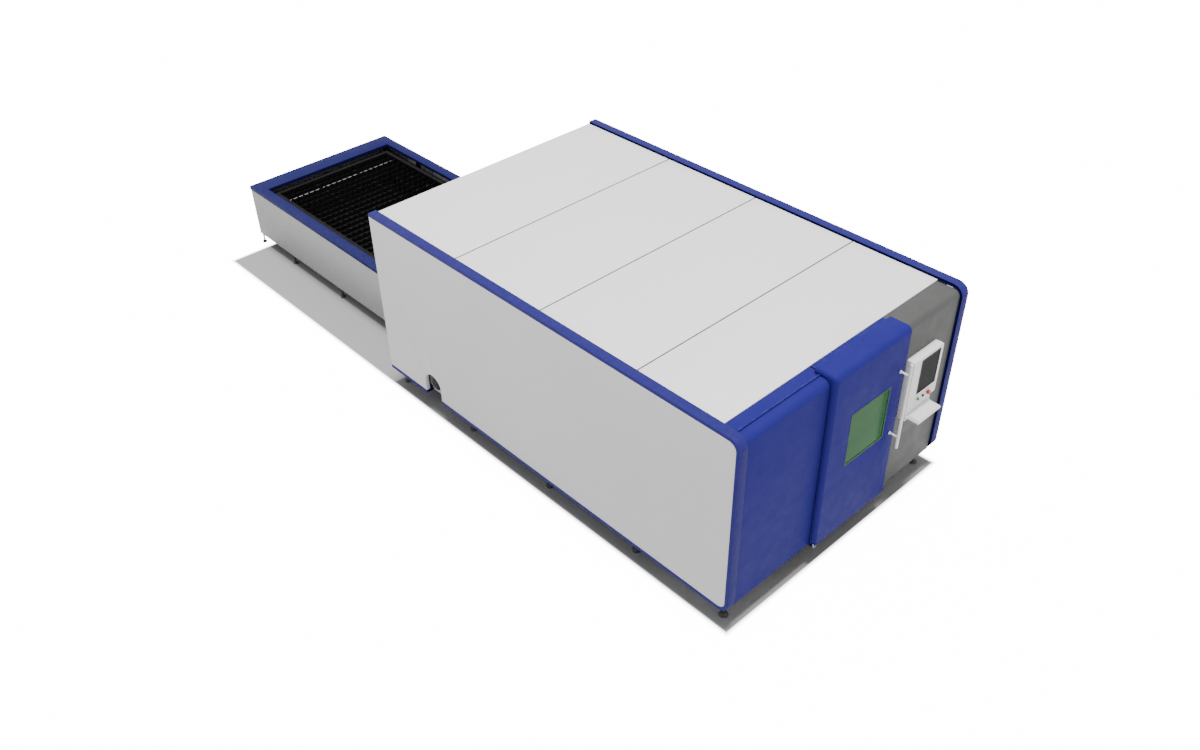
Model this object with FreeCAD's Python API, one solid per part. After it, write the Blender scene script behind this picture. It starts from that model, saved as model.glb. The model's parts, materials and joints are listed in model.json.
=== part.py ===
import FreeCAD, Part
import math
import os

# Fiber laser cutting machine: an enclosed cabin with a two-level pallet shuttle table behind it.
# Millimetres. +Z up, the operator stands at -Y, the shuttle table lies towards +Y.
# While building, X is 0 on the machine's centre plane, Y is 0 at the front edge of the side walls
# and Z is 0 on the floor. Saving moves everything by CENTRE_Y, so the origin is the bottom centre.

V = FreeCAD.Vector
X_AXIS = V(1, 0, 0)
Y_AXIS = V(0, 1, 0)
Z_AXIS = V(0, 0, 1)

# ---- overall ----
CABIN_WIDTH = 3000.0
CABIN_LENGTH = 4720.0
TABLE_LENGTH = 3630.0
SHELF_REACH = 190.0           # the keyboard shelf's front edge, ahead of the side walls
HALF_WIDTH = CABIN_WIDTH / 2
MACHINE_REAR = CABIN_LENGTH + TABLE_LENGTH
CENTRE_Y = (MACHINE_REAR - SHELF_REACH) / 2

# ---- sheet metal and clearances ----
SHEET = 3.0
PANEL_GAP = 2.0               # air between neighbouring panels
SLIDE_GAP = 0.3               # air between faces that slide past each other
RUNNING_GAP = 0.05            # radial clearance of a shaft in its bearing
TOUCH = 0.001                 # nearer than this, two positions are the same

# ---- side walls ----
WALL_TOP = 2050.0
WALL_BOTTOM = 200.0
WALL_THICKNESS = 95.0
RIM_LIP = 35.0                # width of the coloured edge seen from the side
RIM_CORNER_RADIUS = 110.0
RIM_SHEET = 4.0
PANEL_DEPTH = 40.0
PANEL_SETBACK = 3.0
ARCH_CENTRE_Y = CABIN_LENGTH - 753.0
ARCH_WIDTH = 257.0
ARCH_HEIGHT = 293.0
WALL_INSIDE = HALF_WIDTH - WALL_THICKNESS

# ---- welded cabin frame ----
TUBE = 60.0
TUBE_WALL = 4.0
HEADER_Y = 102.0
ROOF_FRONT = 260.0
FIRST_SEAM = 1165.0
ROOF_PITCH = 1167.0
ROOF_TOP = 2025.0
ROOF_DEPTH = 30.0
REAR_WALL_DEPTH = 60.0
FRAME_TOP = ROOF_TOP - ROOF_DEPTH
POST_INSIDE = WALL_INSIDE - TUBE
REAR_WALL_Y = CABIN_LENGTH - REAR_WALL_DEPTH
SEAMS = [FIRST_SEAM + ROOF_PITCH * i for i in range(3)]

# ---- front skins ----
FRONT_FACE = 20.0
FRONT_TOP = 2017.0
FRONT_BOTTOM = 235.0
FRONT_RADIUS = 65.0
FRONT_DEPTH = 30.0
FRONT_TOP_DEPTH = 20.0
FRONT_INNER_RADIUS = 50.0
SIDE_RADIUS = 18.0               # rounding of each front skin at its two sides
FRONT_REAR_EDGE = ROOF_FRONT - SHEET
HEADER_TOP = FRONT_TOP - SHEET

# ---- sliding door ----
OPENING_LEFT = -370.0
OPENING_RIGHT = 590.0
DOOR_LEFT = -420.0
DOOR_RIGHT = 605.0
DOOR_FACE = -40.0
DOOR_TOP = 2075.0
DOOR_BOTTOM = 245.0
DOOR_REAR = 180.0
DOOR_RADIUS = 60.0
DOOR_SIDE_RADIUS = 40.0
DOOR_INNER_RADIUS = 60.0
DOOR_BACK_GAP = 8.0
DOOR_TOP_GAP = 3.0
DOOR_BACK = FRONT_FACE - DOOR_BACK_GAP
DOOR_UNDERSIDE = FRONT_TOP + DOOR_TOP_GAP
WINDOW_LEFT = -140.0
WINDOW_WIDTH = 540.0
WINDOW_BOTTOM = 1000.0
WINDOW_HEIGHT = 557.0
WINDOW_RADIUS = 12.0
GASKET_WIDTH = 14.0
GASKET_DEPTH = 18.0
PANE_THICKNESS = 6.0
HANDLE_X = 510.0
HANDLE_Y = -130.0
HANDLE_BOTTOM = 870.0
HANDLE_TOP = 1775.0
HANDLE_RADIUS = 14.0
STANDOFF_RADIUS = 9.0
STANDOFF_INSET = 120.0
RAIL_Y = HEADER_Y + TUBE / 2
RAIL_WIDTH = 15.0
RAIL_HEIGHT = 15.0
RAIL_CLEARANCE = 5.0             # between the rail and the notch in the door's sides
CARRIAGE_LENGTH = 60.0
CARRIAGE_WIDTH = 34.0
CARRIAGE_INSET = 100.0
GUIDE_SLOT_Y = -19.0
GUIDE_SLOT_WIDTH = 30.0
GUIDE_PIN_RADIUS = 13.0
GUIDE_PIN_LIFT = 14.0

# ---- machine bed and pallet rails ----
BED_FRONT = 1150.0
BED_REAR = REAR_WALL_Y - 10.0
BED_BOTTOM = 250.0
BED_TOP = 850.0
BED_INSIDE = 985.0
BED_BEAM_WIDTH = 200.0
BED_PLATE = 12.0
CROSS_TOP = 400.0
CROSS_WIDTH = 100.0
CROSS_COUNT = 4
CROSS_PLATE = 8.0
PALLET_RAIL_INSIDE = 846.0
PALLET_RAIL_WIDTH = 60.0
PALLET_RAIL_HEIGHT = 40.0
PALLET_RAIL_WALL = 4.0
SHUTTER_Y = REAR_WALL_Y - 22.0   # centre of the rear shutter
RAIL_BREAK = 24.0                # half of the break in the rails where the shutter drops through

# ---- levelling feet ----
FOOT_PAD = 14.0
FOOT_BEVEL = 4.0
FOOT_NUT = 18.0
FOOT_NUT_RATIO = 1.9
CABIN_PAD_RADIUS = 40.0
CABIN_STEM_RADIUS = 12.0
BED_PAD_RADIUS = 60.0
BED_STEM_RADIUS = 18.0
BED_FOOT_INSET = 100.0
BED_FEET = 4
TABLE_PAD_RADIUS = 28.0
TABLE_STEM_RADIUS = 10.0

# ---- pallets ----
PALLET_WIDTH = 1680.0
PALLET_LENGTH = 3280.0
PALLET_HEIGHT = 110.0
PALLET_TUBE = 50.0
PALLET_WALL = 4.0
PALLET_INSIDE_Y = CABIN_LENGTH - 3540.0   # front end of the pallet that is in the cabin
PALLET_TRAVEL = 3600.0
UPPER_TOP = 735.0
LOWER_TOP = 585.0
SLAT_PITCH = 110.0
SLAT_COUNT = 28
SLAT_THICKNESS = 4.0
SLAT_HEIGHT = 65.0
SLAT_TOOTH = 22.0
SLAT_START = 145.0
WHEEL_RADIUS = 40.0
WHEEL_WIDTH = 36.0
WHEEL_DROP = 15.0                # wheel's underside below the pallet's underside
AXLE_RADIUS = 12.5
AXLE_INSET = 150.0
WHEEL_INSIDE = PALLET_WIDTH / 2 + 2.0

# ---- chain drive of the pallets ----
CHAIN_X = 943.0
CHAIN_WIDTH = 14.0
CHAIN_HEIGHT = 24.0
CHAIN_PITCH_RADIUS = 75.0
CHAIN_AXIS_Z = 565.0
DRIVE_AXIS_Y = MACHINE_REAR - 150.0
IDLER_AXIS_Y = CABIN_LENGTH - 330.0
SHAFT_RADIUS = 20.0
SPROCKET_TEETH = 18
SPROCKET_HUB = 14.0
BEARING_INSET = 75.0
BEARING_HALF = 42.0
BEARING_WIDTH = 30.0
BEARING_CORNER = 12.0
GEARBOX_X = 300.0
GEARBOX_WIDTH = 150.0
GEARBOX_DROP = 75.0
GEARBOX_CORNER = 14.0
MOTOR_RADIUS = 62.0
MOTOR_LENGTH = 230.0
MOTOR_SPIGOT = 5.0
MOTOR_FLANGE = 14.0
DOG_HEIGHT = 20.0
DOG_WIDTH = 30.0
DOG_INSET = 35.0

# ---- gantry and cutting head ----
GANTRY_REST_Y = 1500.0
GANTRY_RAIL_X = 1045.0
GANTRY_RAIL_WIDTH = 34.0
GANTRY_RAIL_HEIGHT = 29.0
MAGNET_X = 1130.0
MAGNET_WIDTH = 60.0
MAGNET_HEIGHT = 12.0
BEAM_BOTTOM = 950.0
BEAM_TOP = 1150.0
BEAM_DEPTH = 180.0
BEAM_HALF_LENGTH = 1150.0
BEAM_PLATE = 10.0
HEAD_RAIL_HEIGHT = 20.0
HEAD_RAIL_WIDTH = 24.0
HEAD_OFFSET = 250.0              # head axis ahead of the gantry's centre line
HEAD_RADIUS = 45.0
NECK_RADIUS = 30.0
TIP_Z = 810.0

# ---- rear pallet opening and shutter ----
PORT_HALF_WIDTH = 975.0
PORT_BOTTOM = 400.0
PORT_TOP = 800.0
SHUTTER_HALF_WIDTH = 928.0
SHUTTER_HEIGHT = 360.0
SHUTTER_THICKNESS = 28.0
SHUTTER_REST_BOTTOM = PORT_TOP + 30.0
SHUTTER_TONGUE = 12.0
GUIDE_BOTTOM = 700.0

# ---- exhaust ----
DUCT_Z = 380.0
DUCT_RADIUS = 90.0
DUCT_REACH = 40.0                # spigot's mouth, inside the outer face of the wall

# ---- cabinets ----
CABINET_FRONT = 220.0
CABINET_DEPTH = 640.0
CABINET_WALL = 2.0
PLINTH_HEIGHT = 100.0
PLINTH_INSET = 20.0
PLINTH_WALL = 4.0
LEAF_INSET = 25.0
LEAF_DEPTH = 20.0
SOURCE_WIDTH = 620.0
SOURCE_TOP = 1150.0
CONTROLS_WIDTH = 600.0
CONTROLS_TOP = 1780.0

# ---- shuttle table ----
TABLE_HALF_WIDTH = 1010.0
TABLE_TOP = 795.0
TABLE_RIM_DEPTH = 40.0
TABLE_SIDE_RIM = 125.0
TABLE_REAR_RIM = 240.0
SKIRT_BOTTOM = 130.0
SKIRT_INSET = 7.0
TABLE_TUBE = 40.0
TABLE_TUBE_WALL = 3.0
TABLE_SILL_Z = 170.0
LEG_PITCH = 1065.0
LEG_MIDDLE_Y = CABIN_LENGTH + 1790.0
TABLE_WELL = TABLE_HALF_WIDTH - TABLE_SIDE_RIM
LEG_OUTSIDE = TABLE_HALF_WIDTH - SKIRT_INSET - SHEET
LEG_INSIDE = LEG_OUTSIDE - TABLE_TUBE
REAR_RAIL_OUTSIDE = MACHINE_REAR - SKIRT_INSET - SHEET
LEG_YS = [CABIN_LENGTH + 60.0, LEG_MIDDLE_Y - LEG_PITCH, LEG_MIDDLE_Y, LEG_MIDDLE_Y + LEG_PITCH,
          REAR_RAIL_OUTSIDE - TABLE_TUBE / 2]

# ---- operator console ----
CONSOLE_LEFT = 690.0
CONSOLE_WIDTH = 440.0
CONSOLE_BOTTOM = 1130.0
CONSOLE_TOP = 1650.0
CONSOLE_FACE = -60.0
CONSOLE_SHEET = 3.0
CONSOLE_RADIUS = 12.0
CHIN_BOTTOM = 1020.0
CHIN_WIDTH = 370.0
SCREEN_LEFT = 810.0
SCREEN_WIDTH = 280.0
SCREEN_BOTTOM = 1255.0
SCREEN_HEIGHT = 365.0
BUTTON_Z = 1187.0
BUTTON_FIRST_X = 850.0
BUTTON_PITCH = 75.0
BUTTON_RADIUS = 11.0
SHELF_THICKNESS = 20.0
SHELF_PIVOT_Y = -72.0
SHELF_PIVOT_Z = 1058.0
SHELF_PIN_RADIUS = 3.0
SHELF_KNUCKLE_RADIUS = 7.0
SHELF_LUG = 12.0


# ---------------------------------------------------------------- basic shapes

def block(x0, x1, y0, y1, z0, z1):
    """A box between two corners."""
    return Part.makeBox(x1 - x0, y1 - y0, z1 - z0, V(x0, y0, z0))


def rod(radius, length, base, direction):
    """A round bar from its base point."""
    return Part.makeCylinder(radius, length, base, direction)


def ring(outer, inner, length, base, direction):
    """A round tube."""
    return rod(outer, length, base, direction).cut(rod(inner, length, base, direction))


def square_tube(x0, x1, y0, y1, z0, z1, wall, along):
    """A rectangular hollow section, open at both ends of the axis it runs along."""
    inset = {"x": (0, wall, wall), "y": (wall, 0, wall), "z": (wall, wall, 0)}[along]
    hollow = block(x0 + inset[0], x1 - inset[0], y0 + inset[1], y1 - inset[1], z0 + inset[2], z1 - inset[2])
    return block(x0, x1, y0, y1, z0, z1).cut(hollow)


def rounded_plate(u0, u1, v0, v1, radius, thickness, place, normal):
    """A plate with round corners: u and v run in its plane, place is its level along the normal."""
    if normal == "y":
        plate = block(u0, u1, place, place + thickness, v0, v1)
        direction = Y_AXIS
    elif normal == "x":
        plate = block(place, place + thickness, u0, u1, v0, v1)
        direction = X_AXIS
    else:
        plate = block(u0, u1, v0, v1, place, place + thickness)
        direction = Z_AXIS
    edges = [e for e in plate.Edges if abs(e.tangentAt(e.FirstParameter).dot(direction)) > 0.99]
    return plate.makeFillet(radius, edges)


def mirrored(shape):
    """The same shape on the other side of the centre plane."""
    return shape.mirror(V(0, 0, 0), X_AXIS)


def both_sides(shapes):
    return shapes + [mirrored(s) for s in shapes]


def union(shapes):
    """Shapes welded into one solid."""
    return shapes[0].multiFuse(shapes[1:]).removeSplitter()


def save(node, shapes):
    """Write one node: its separate solids, moved so that the origin is the bottom centre."""
    group = Part.makeCompound(shapes)
    group.translate(V(0, -CENTRE_Y, 0))
    group.exportStep("parts/" + node + ".step")
    print(node, len(group.Solids), "solids", "valid" if group.isValid() else "NOT VALID")


# ---------------------------------------------------------------- side walls

def wall_outline(inset, rear):
    """Side wall face seen along X: round corners at the front, square at the rear."""
    y0 = inset
    z0 = WALL_BOTTOM + inset
    z1 = WALL_TOP - inset
    r = RIM_CORNER_RADIUS - inset
    k = r * (1 - math.sqrt(0.5))
    points = [V(0, rear, z0), V(0, y0 + r, z0), V(0, y0, z0 + r), V(0, y0, z1 - r), V(0, y0 + r, z1),
              V(0, rear, z1)]
    edges = [Part.makeLine(points[0], points[1]),
             Part.Arc(points[1], V(0, y0 + k, z0 + k), points[2]).toShape(),
             Part.makeLine(points[2], points[3]),
             Part.Arc(points[3], V(0, y0 + k, z1 - k), points[4]).toShape(),
             Part.makeLine(points[4], points[5]),
             Part.makeLine(points[5], points[0])]
    return Part.Face(Part.Wire(edges))


def wall_prism(inset, rear, x0, x1):
    prism = wall_outline(inset, rear).extrude(V(x1 - x0, 0, 0))
    prism.translate(V(x0, 0, 0))
    return prism


def arch_cutter():
    """The arch at the foot of the left wall that lets the exhaust duct out."""
    radius = ARCH_WIDTH / 2
    x0 = -HALF_WIDTH - 10
    depth = WALL_THICKNESS + 20
    spring = WALL_BOTTOM + ARCH_HEIGHT - radius
    legs = block(x0, x0 + depth, ARCH_CENTRE_Y - radius, ARCH_CENTRE_Y + radius, WALL_BOTTOM - 10, spring)
    return legs.fuse(rod(radius, depth, V(x0, ARCH_CENTRE_Y, spring), X_AXIS))


def wall_rim():
    """Coloured edge of the left wall: a folded channel along its top, front and bottom."""
    rim = wall_prism(0, CABIN_LENGTH, -HALF_WIDTH, -WALL_INSIDE)
    rim = rim.cut(wall_prism(RIM_LIP, CABIN_LENGTH + 10, -HALF_WIDTH - 1, -WALL_INSIDE + 1))
    channel = wall_prism(RIM_SHEET, CABIN_LENGTH - RIM_SHEET, -HALF_WIDTH + RIM_SHEET, -WALL_INSIDE + 1)
    core = wall_prism(RIM_LIP - RIM_SHEET, CABIN_LENGTH + 10, -HALF_WIDTH, -WALL_INSIDE + 2)
    return rim.cut(channel.cut(core))


def wall_panel():
    """Grey cassette set into the rim of the left wall, with folded edges."""
    rim_gap = RIM_LIP + 1.0
    x0 = -HALF_WIDTH + PANEL_SETBACK
    cassette = wall_prism(rim_gap, CABIN_LENGTH, x0, x0 + PANEL_DEPTH)
    hollow = wall_prism(rim_gap + SHEET, CABIN_LENGTH - SHEET, x0 + SHEET, x0 + PANEL_DEPTH + 1)
    return cassette.cut(hollow)


def side_walls():
    rim = wall_rim()
    panel = wall_panel()
    save("right_wall_rim", [mirrored(rim)])
    save("right_wall_panel", [mirrored(panel)])
    arch = arch_cutter()
    collar = arch_collar()
    save("left_wall_rim", [rim.cut(arch)])
    save("left_wall_panel", [panel.cut(arch).fuse(collar).removeSplitter()])


def arch_collar():
    """Folded edge round the arch, as deep as the wall cassette."""
    radius = ARCH_WIDTH / 2
    x0 = -HALF_WIDTH + PANEL_SETBACK
    spring = WALL_BOTTOM + ARCH_HEIGHT - radius
    foot = WALL_BOTTOM + RIM_LIP + 1.0
    outer = block(x0, x0 + PANEL_DEPTH, ARCH_CENTRE_Y - radius - SHEET, ARCH_CENTRE_Y + radius + SHEET,
                  foot, spring)
    outer = outer.fuse(rod(radius + SHEET, PANEL_DEPTH, V(x0, ARCH_CENTRE_Y, spring), X_AXIS))
    return outer.cut(arch_cutter())


# ---------------------------------------------------------------- cabin frame

def cabin_frame():
    """Welded square tubes: side frames, front sill and header, door posts and roof beams."""
    x0 = POST_INSIDE
    x1 = WALL_INSIDE
    sill_top = WALL_BOTTOM + TUBE
    header_bottom = HEADER_TOP - TUBE
    rail_bottom = FRAME_TOP - TUBE
    half = TUBE / 2
    tubes = [square_tube(x0, x1, FRONT_FACE + FRONT_DEPTH, REAR_WALL_Y, WALL_BOTTOM, sill_top, TUBE_WALL,
                         "y"),
             square_tube(x0, x1, HEADER_Y + TUBE, REAR_WALL_Y, rail_bottom, FRAME_TOP, TUBE_WALL, "y"),
             square_tube(x0, x1, HEADER_Y, HEADER_Y + TUBE, sill_top, header_bottom, TUBE_WALL, "z")]
    for y in SEAMS + [REAR_WALL_Y - half]:
        tubes.append(square_tube(x0, x1, y - half, y + half, sill_top, rail_bottom, TUBE_WALL, "z"))
    tubes = both_sides(tubes)
    for y in [ROOF_FRONT + half] + SEAMS + [REAR_WALL_Y - half]:
        tubes.append(square_tube(-x0, x0, y - half, y + half, rail_bottom, FRAME_TOP, TUBE_WALL, "x"))
    tubes.append(square_tube(-x0, x0, HEADER_Y, HEADER_Y + TUBE, WALL_BOTTOM, sill_top, TUBE_WALL, "x"))
    tubes.append(square_tube(-x1, x1, HEADER_Y, HEADER_Y + TUBE, header_bottom, HEADER_TOP, TUBE_WALL, "x"))
    for x in [OPENING_LEFT - TUBE, OPENING_RIGHT]:
        tubes.append(square_tube(x, x + TUBE, HEADER_Y, HEADER_Y + TUBE, sill_top, header_bottom, TUBE_WALL,
                                 "z"))
    save("cabin_frame", tubes)


def pan(x0, x1, y0, y1, z0, z1, skin):
    """A folded sheet cassette: a flat skin on one side and folded edges all round."""
    inner = {"top": (x0 + SHEET, x1 - SHEET, y0 + SHEET, y1 - SHEET, z0 - 1, z1 - SHEET),
             "rear": (x0 + SHEET, x1 - SHEET, y0 - 1, y1 - SHEET, z0 + SHEET, z1 - SHEET)}[skin]
    return block(x0, x1, y0, y1, z0, z1).cut(block(*inner))


def roof_panels():
    edges = [ROOF_FRONT] + SEAMS + [CABIN_LENGTH]
    half = WALL_INSIDE - PANEL_GAP
    panels = []
    for front, rear in zip(edges[:-1], edges[1:]):
        gap_front = 0 if front == ROOF_FRONT else PANEL_GAP
        gap_rear = 0 if rear == CABIN_LENGTH else PANEL_GAP
        panels.append(pan(-half, half, front + gap_front, rear - gap_rear, FRAME_TOP, ROOF_TOP, "top"))
    save("roof_panels", panels)


def rear_wall():
    """Back of the cabin, with the port that the pallets and the drive chains pass through."""
    half = WALL_INSIDE - PANEL_GAP
    wall = pan(-half, half, REAR_WALL_Y, CABIN_LENGTH, WALL_BOTTOM, FRAME_TOP, "rear")
    surround = block(-PORT_HALF_WIDTH - SHEET, PORT_HALF_WIDTH + SHEET, REAR_WALL_Y, CABIN_LENGTH,
                     PORT_BOTTOM - SHEET, PORT_TOP + SHEET)
    port = block(-PORT_HALF_WIDTH, PORT_HALF_WIDTH, REAR_WALL_Y - 1, CABIN_LENGTH + 1, PORT_BOTTOM, PORT_TOP)
    save("rear_wall", [wall.fuse(surround).removeSplitter().cut(port)])


# ---------------------------------------------------------------- front skins and door

def wrap_prism(x0, x1, face, top, bottom, rear, radius, front_depth, top_depth, inner_radius):
    """A front skin's envelope: a vertical face that rolls over the top edge, seen along X."""
    inner_y = face + front_depth
    inner_z = top - top_depth
    k = radius * (1 - math.sqrt(0.5))
    j = inner_radius * (1 - math.sqrt(0.5))
    points = [V(x0, face, bottom), V(x0, face, top - radius), V(x0, face + radius, top), V(x0, rear, top),
              V(x0, rear, inner_z), V(x0, inner_y + inner_radius, inner_z),
              V(x0, inner_y, inner_z - inner_radius), V(x0, inner_y, bottom)]
    edges = [Part.makeLine(points[0], points[1]),
             Part.Arc(points[1], V(x0, face + k, top - k), points[2]).toShape(),
             Part.makeLine(points[2], points[3]),
             Part.makeLine(points[3], points[4]),
             Part.makeLine(points[4], points[5]),
             Part.Arc(points[5], V(x0, inner_y + j, inner_z - j), points[6]).toShape(),
             Part.makeLine(points[6], points[7]),
             Part.makeLine(points[7], points[0])]
    return Part.Face(Part.Wire(edges)).extrude(V(x1 - x0, 0, 0))


def round_sides(prism, face, top, radius):
    """Rounds a front skin's two side edges, up its face and over its top."""
    edges = []
    for edge in prism.Edges:
        ends = [vertex.Point for vertex in edge.Vertexes]
        on_skin = all(abs(p.y - face) < TOUCH or abs(p.z - top) < TOUCH for p in ends)
        if edge.BoundBox.XLength < TOUCH and on_skin:
            edges.append(edge)
    return prism.makeFillet(radius, edges)


def wrap_pan(x0, x1, face, top, bottom, rear, radius, front_depth, top_depth, inner_radius, side_radius):
    """The envelope hollowed from behind, which leaves the skin and its folded edges."""
    past = 10.0
    outer = wrap_prism(x0, x1, face, top, bottom, rear, radius, front_depth, top_depth, inner_radius)
    inner = wrap_prism(x0 + SHEET, x1 - SHEET, face + SHEET, top - SHEET, bottom + SHEET, rear - SHEET,
                       radius - SHEET, front_depth + past - SHEET, top_depth + past - SHEET,
                       inner_radius - past)
    outer = round_sides(outer, face, top, side_radius)
    inner = round_sides(inner, face + SHEET, top - SHEET, side_radius - SHEET)
    return outer.cut(inner)


def front_panels():
    skin = (FRONT_FACE, FRONT_TOP, FRONT_BOTTOM, FRONT_REAR_EDGE, FRONT_RADIUS, FRONT_DEPTH,
            FRONT_TOP_DEPTH, FRONT_INNER_RADIUS, SIDE_RADIUS)
    outside = WALL_INSIDE - PANEL_GAP
    header_way = block(-HALF_WIDTH, HALF_WIDTH, HEADER_Y - 1, HEADER_Y + TUBE + 1, HEADER_TOP - TUBE,
                       HEADER_TOP)
    x0 = OPENING_LEFT + PANEL_GAP
    x1 = OPENING_RIGHT - PANEL_GAP
    cover = block(x0, x1, HEADER_Y, FRONT_REAR_EDGE, HEADER_TOP, FRONT_TOP)
    flange = block(x0, x1, FRONT_REAR_EDGE - SHEET, FRONT_REAR_EDGE, FRONT_TOP - FRONT_TOP_DEPTH, FRONT_TOP)
    save("fixed_front_panel", [wrap_pan(-outside, OPENING_LEFT, *skin).cut(header_way),
                               union([cover, flange])])
    save("console_front_panel", [wrap_pan(OPENING_RIGHT, outside, *skin).cut(header_way)])


def sliding_door():
    door = wrap_pan(DOOR_LEFT, DOOR_RIGHT, DOOR_FACE, DOOR_TOP, DOOR_BOTTOM, DOOR_REAR, DOOR_RADIUS,
                    DOOR_BACK - DOOR_FACE, DOOR_TOP - DOOR_UNDERSIDE, DOOR_INNER_RADIUS, DOOR_SIDE_RADIUS)
    window = block(WINDOW_LEFT, WINDOW_LEFT + WINDOW_WIDTH, DOOR_FACE - 1, DOOR_FACE + SHEET + 1,
                   WINDOW_BOTTOM, WINDOW_BOTTOM + WINDOW_HEIGHT)
    passage = RAIL_WIDTH / 2 + RAIL_CLEARANCE
    notch = block(DOOR_LEFT - 1, DOOR_RIGHT + 1, RAIL_Y - passage, RAIL_Y + passage, DOOR_UNDERSIDE - 1,
                  FRONT_TOP + RAIL_HEIGHT + RAIL_CLEARANCE)
    half = GUIDE_SLOT_WIDTH / 2
    slot = block(DOOR_LEFT - 1, DOOR_RIGHT + 1, GUIDE_SLOT_Y - half, GUIDE_SLOT_Y + half, DOOR_BOTTOM - 1,
                 DOOR_BOTTOM + GUIDE_PIN_LIFT + 10)
    lips = [block(DOOR_LEFT + SHEET, DOOR_RIGHT - SHEET, y, y + SHEET, DOOR_BOTTOM, DOOR_BOTTOM + 20)
            for y in [GUIDE_SLOT_Y - half - SHEET, GUIDE_SLOT_Y + half]]
    save("sliding_door", [union([door.cut(window).cut(notch)] + lips).cut(slot)])
    lining = block(DOOR_LEFT + SHEET, DOOR_RIGHT - SHEET, DOOR_BACK - SHEET, DOOR_BACK, DOOR_BOTTOM + SHEET,
                   DOOR_UNDERSIDE - DOOR_INNER_RADIUS)
    sight = block(WINDOW_LEFT, WINDOW_LEFT + WINDOW_WIDTH, DOOR_BACK - SHEET - 1, DOOR_BACK + 1,
                  WINDOW_BOTTOM, WINDOW_BOTTOM + WINDOW_HEIGHT)
    save("door_lining", [lining.cut(sight)])


def door_window():
    """Laser-safe pane in a moulded gasket that grips the edge of the door's cut-out."""
    x0 = WINDOW_LEFT + 0.2
    x1 = WINDOW_LEFT + WINDOW_WIDTH - 0.2
    z0 = WINDOW_BOTTOM + 0.2
    z1 = WINDOW_BOTTOM + WINDOW_HEIGHT - 0.2
    front = DOOR_FACE - 1.5
    gasket = block(x0, x1, front, front + GASKET_DEPTH, z0, z1)
    gasket = gasket.cut(rounded_plate(x0 + GASKET_WIDTH, x1 - GASKET_WIDTH, z0 + GASKET_WIDTH,
                                      z1 - GASKET_WIDTH, WINDOW_RADIUS, GASKET_DEPTH + 2, front - 1, "y"))
    grip = GASKET_WIDTH / 2
    pane_y = front + (GASKET_DEPTH - PANE_THICKNESS) / 2
    pane = block(x0 + grip, x1 - grip, pane_y, pane_y + PANE_THICKNESS, z0 + grip, z1 - grip)
    save("window_gasket", [gasket.cut(pane)])
    save("door_window", [pane])


def door_handle():
    """Round pull bar on two standoffs screwed to the door."""
    bar = rod(HANDLE_RADIUS, HANDLE_TOP - HANDLE_BOTTOM, V(HANDLE_X, HANDLE_Y, HANDLE_BOTTOM), Z_AXIS)
    bar = bar.makeFillet(3.0, [e for e in bar.Edges if e.Curve.TypeId == "Part::GeomCircle"])
    pieces = [bar]
    for z in [HANDLE_BOTTOM + STANDOFF_INSET, HANDLE_TOP - STANDOFF_INSET]:
        reach = DOOR_FACE - HANDLE_Y
        peg = rod(STANDOFF_RADIUS, reach, V(HANDLE_X, HANDLE_Y, z), Y_AXIS)
        foot = rod(STANDOFF_RADIUS + 6, 4.0, V(HANDLE_X, DOOR_FACE - 4.0, z), Y_AXIS)
        pieces.append(peg.fuse(foot).cut(pieces[0]))
    save("door_handle", pieces)


def door_running_gear():
    """Top rail on the header, two carriages under the door's top and a guide pin at its foot."""
    half = RAIL_WIDTH / 2
    rail_left = -WALL_INSIDE + 20
    rail_right = OPENING_RIGHT - PANEL_GAP
    rail = block(rail_left, rail_right, RAIL_Y - half, RAIL_Y + half, FRONT_TOP, FRONT_TOP + RAIL_HEIGHT)
    save("door_top_rail", [rail])
    carriages = []
    for x in [DOOR_LEFT + CARRIAGE_INSET, DOOR_RIGHT - CARRIAGE_INSET]:
        body = block(x - CARRIAGE_LENGTH / 2, x + CARRIAGE_LENGTH / 2, RAIL_Y - CARRIAGE_WIDTH / 2,
                     RAIL_Y + CARRIAGE_WIDTH / 2, FRONT_TOP + 4, DOOR_TOP - SHEET)
        groove = block(x - CARRIAGE_LENGTH, x + CARRIAGE_LENGTH, RAIL_Y - half - SLIDE_GAP,
                       RAIL_Y + half + SLIDE_GAP, FRONT_TOP, FRONT_TOP + RAIL_HEIGHT + SLIDE_GAP)
        carriages.append(body.cut(groove))
    save("door_carriages", carriages)
    pin_x = OPENING_LEFT - TUBE / 2
    arm_top = FRONT_BOTTOM - SHEET
    arm = block(pin_x - 20, pin_x + 20, GUIDE_SLOT_Y - 15, HEADER_Y, arm_top - 6, arm_top)
    upright = block(pin_x - 20, pin_x + 20, HEADER_Y - 6, HEADER_Y, WALL_BOTTOM, arm_top)
    pin = rod(GUIDE_PIN_RADIUS, DOOR_BOTTOM + GUIDE_PIN_LIFT - arm_top,
                 V(pin_x, GUIDE_SLOT_Y, arm_top), Z_AXIS)
    save("door_floor_guide", [union([arm, upright]), pin])


# ---------------------------------------------------------------- machine bed

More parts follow.
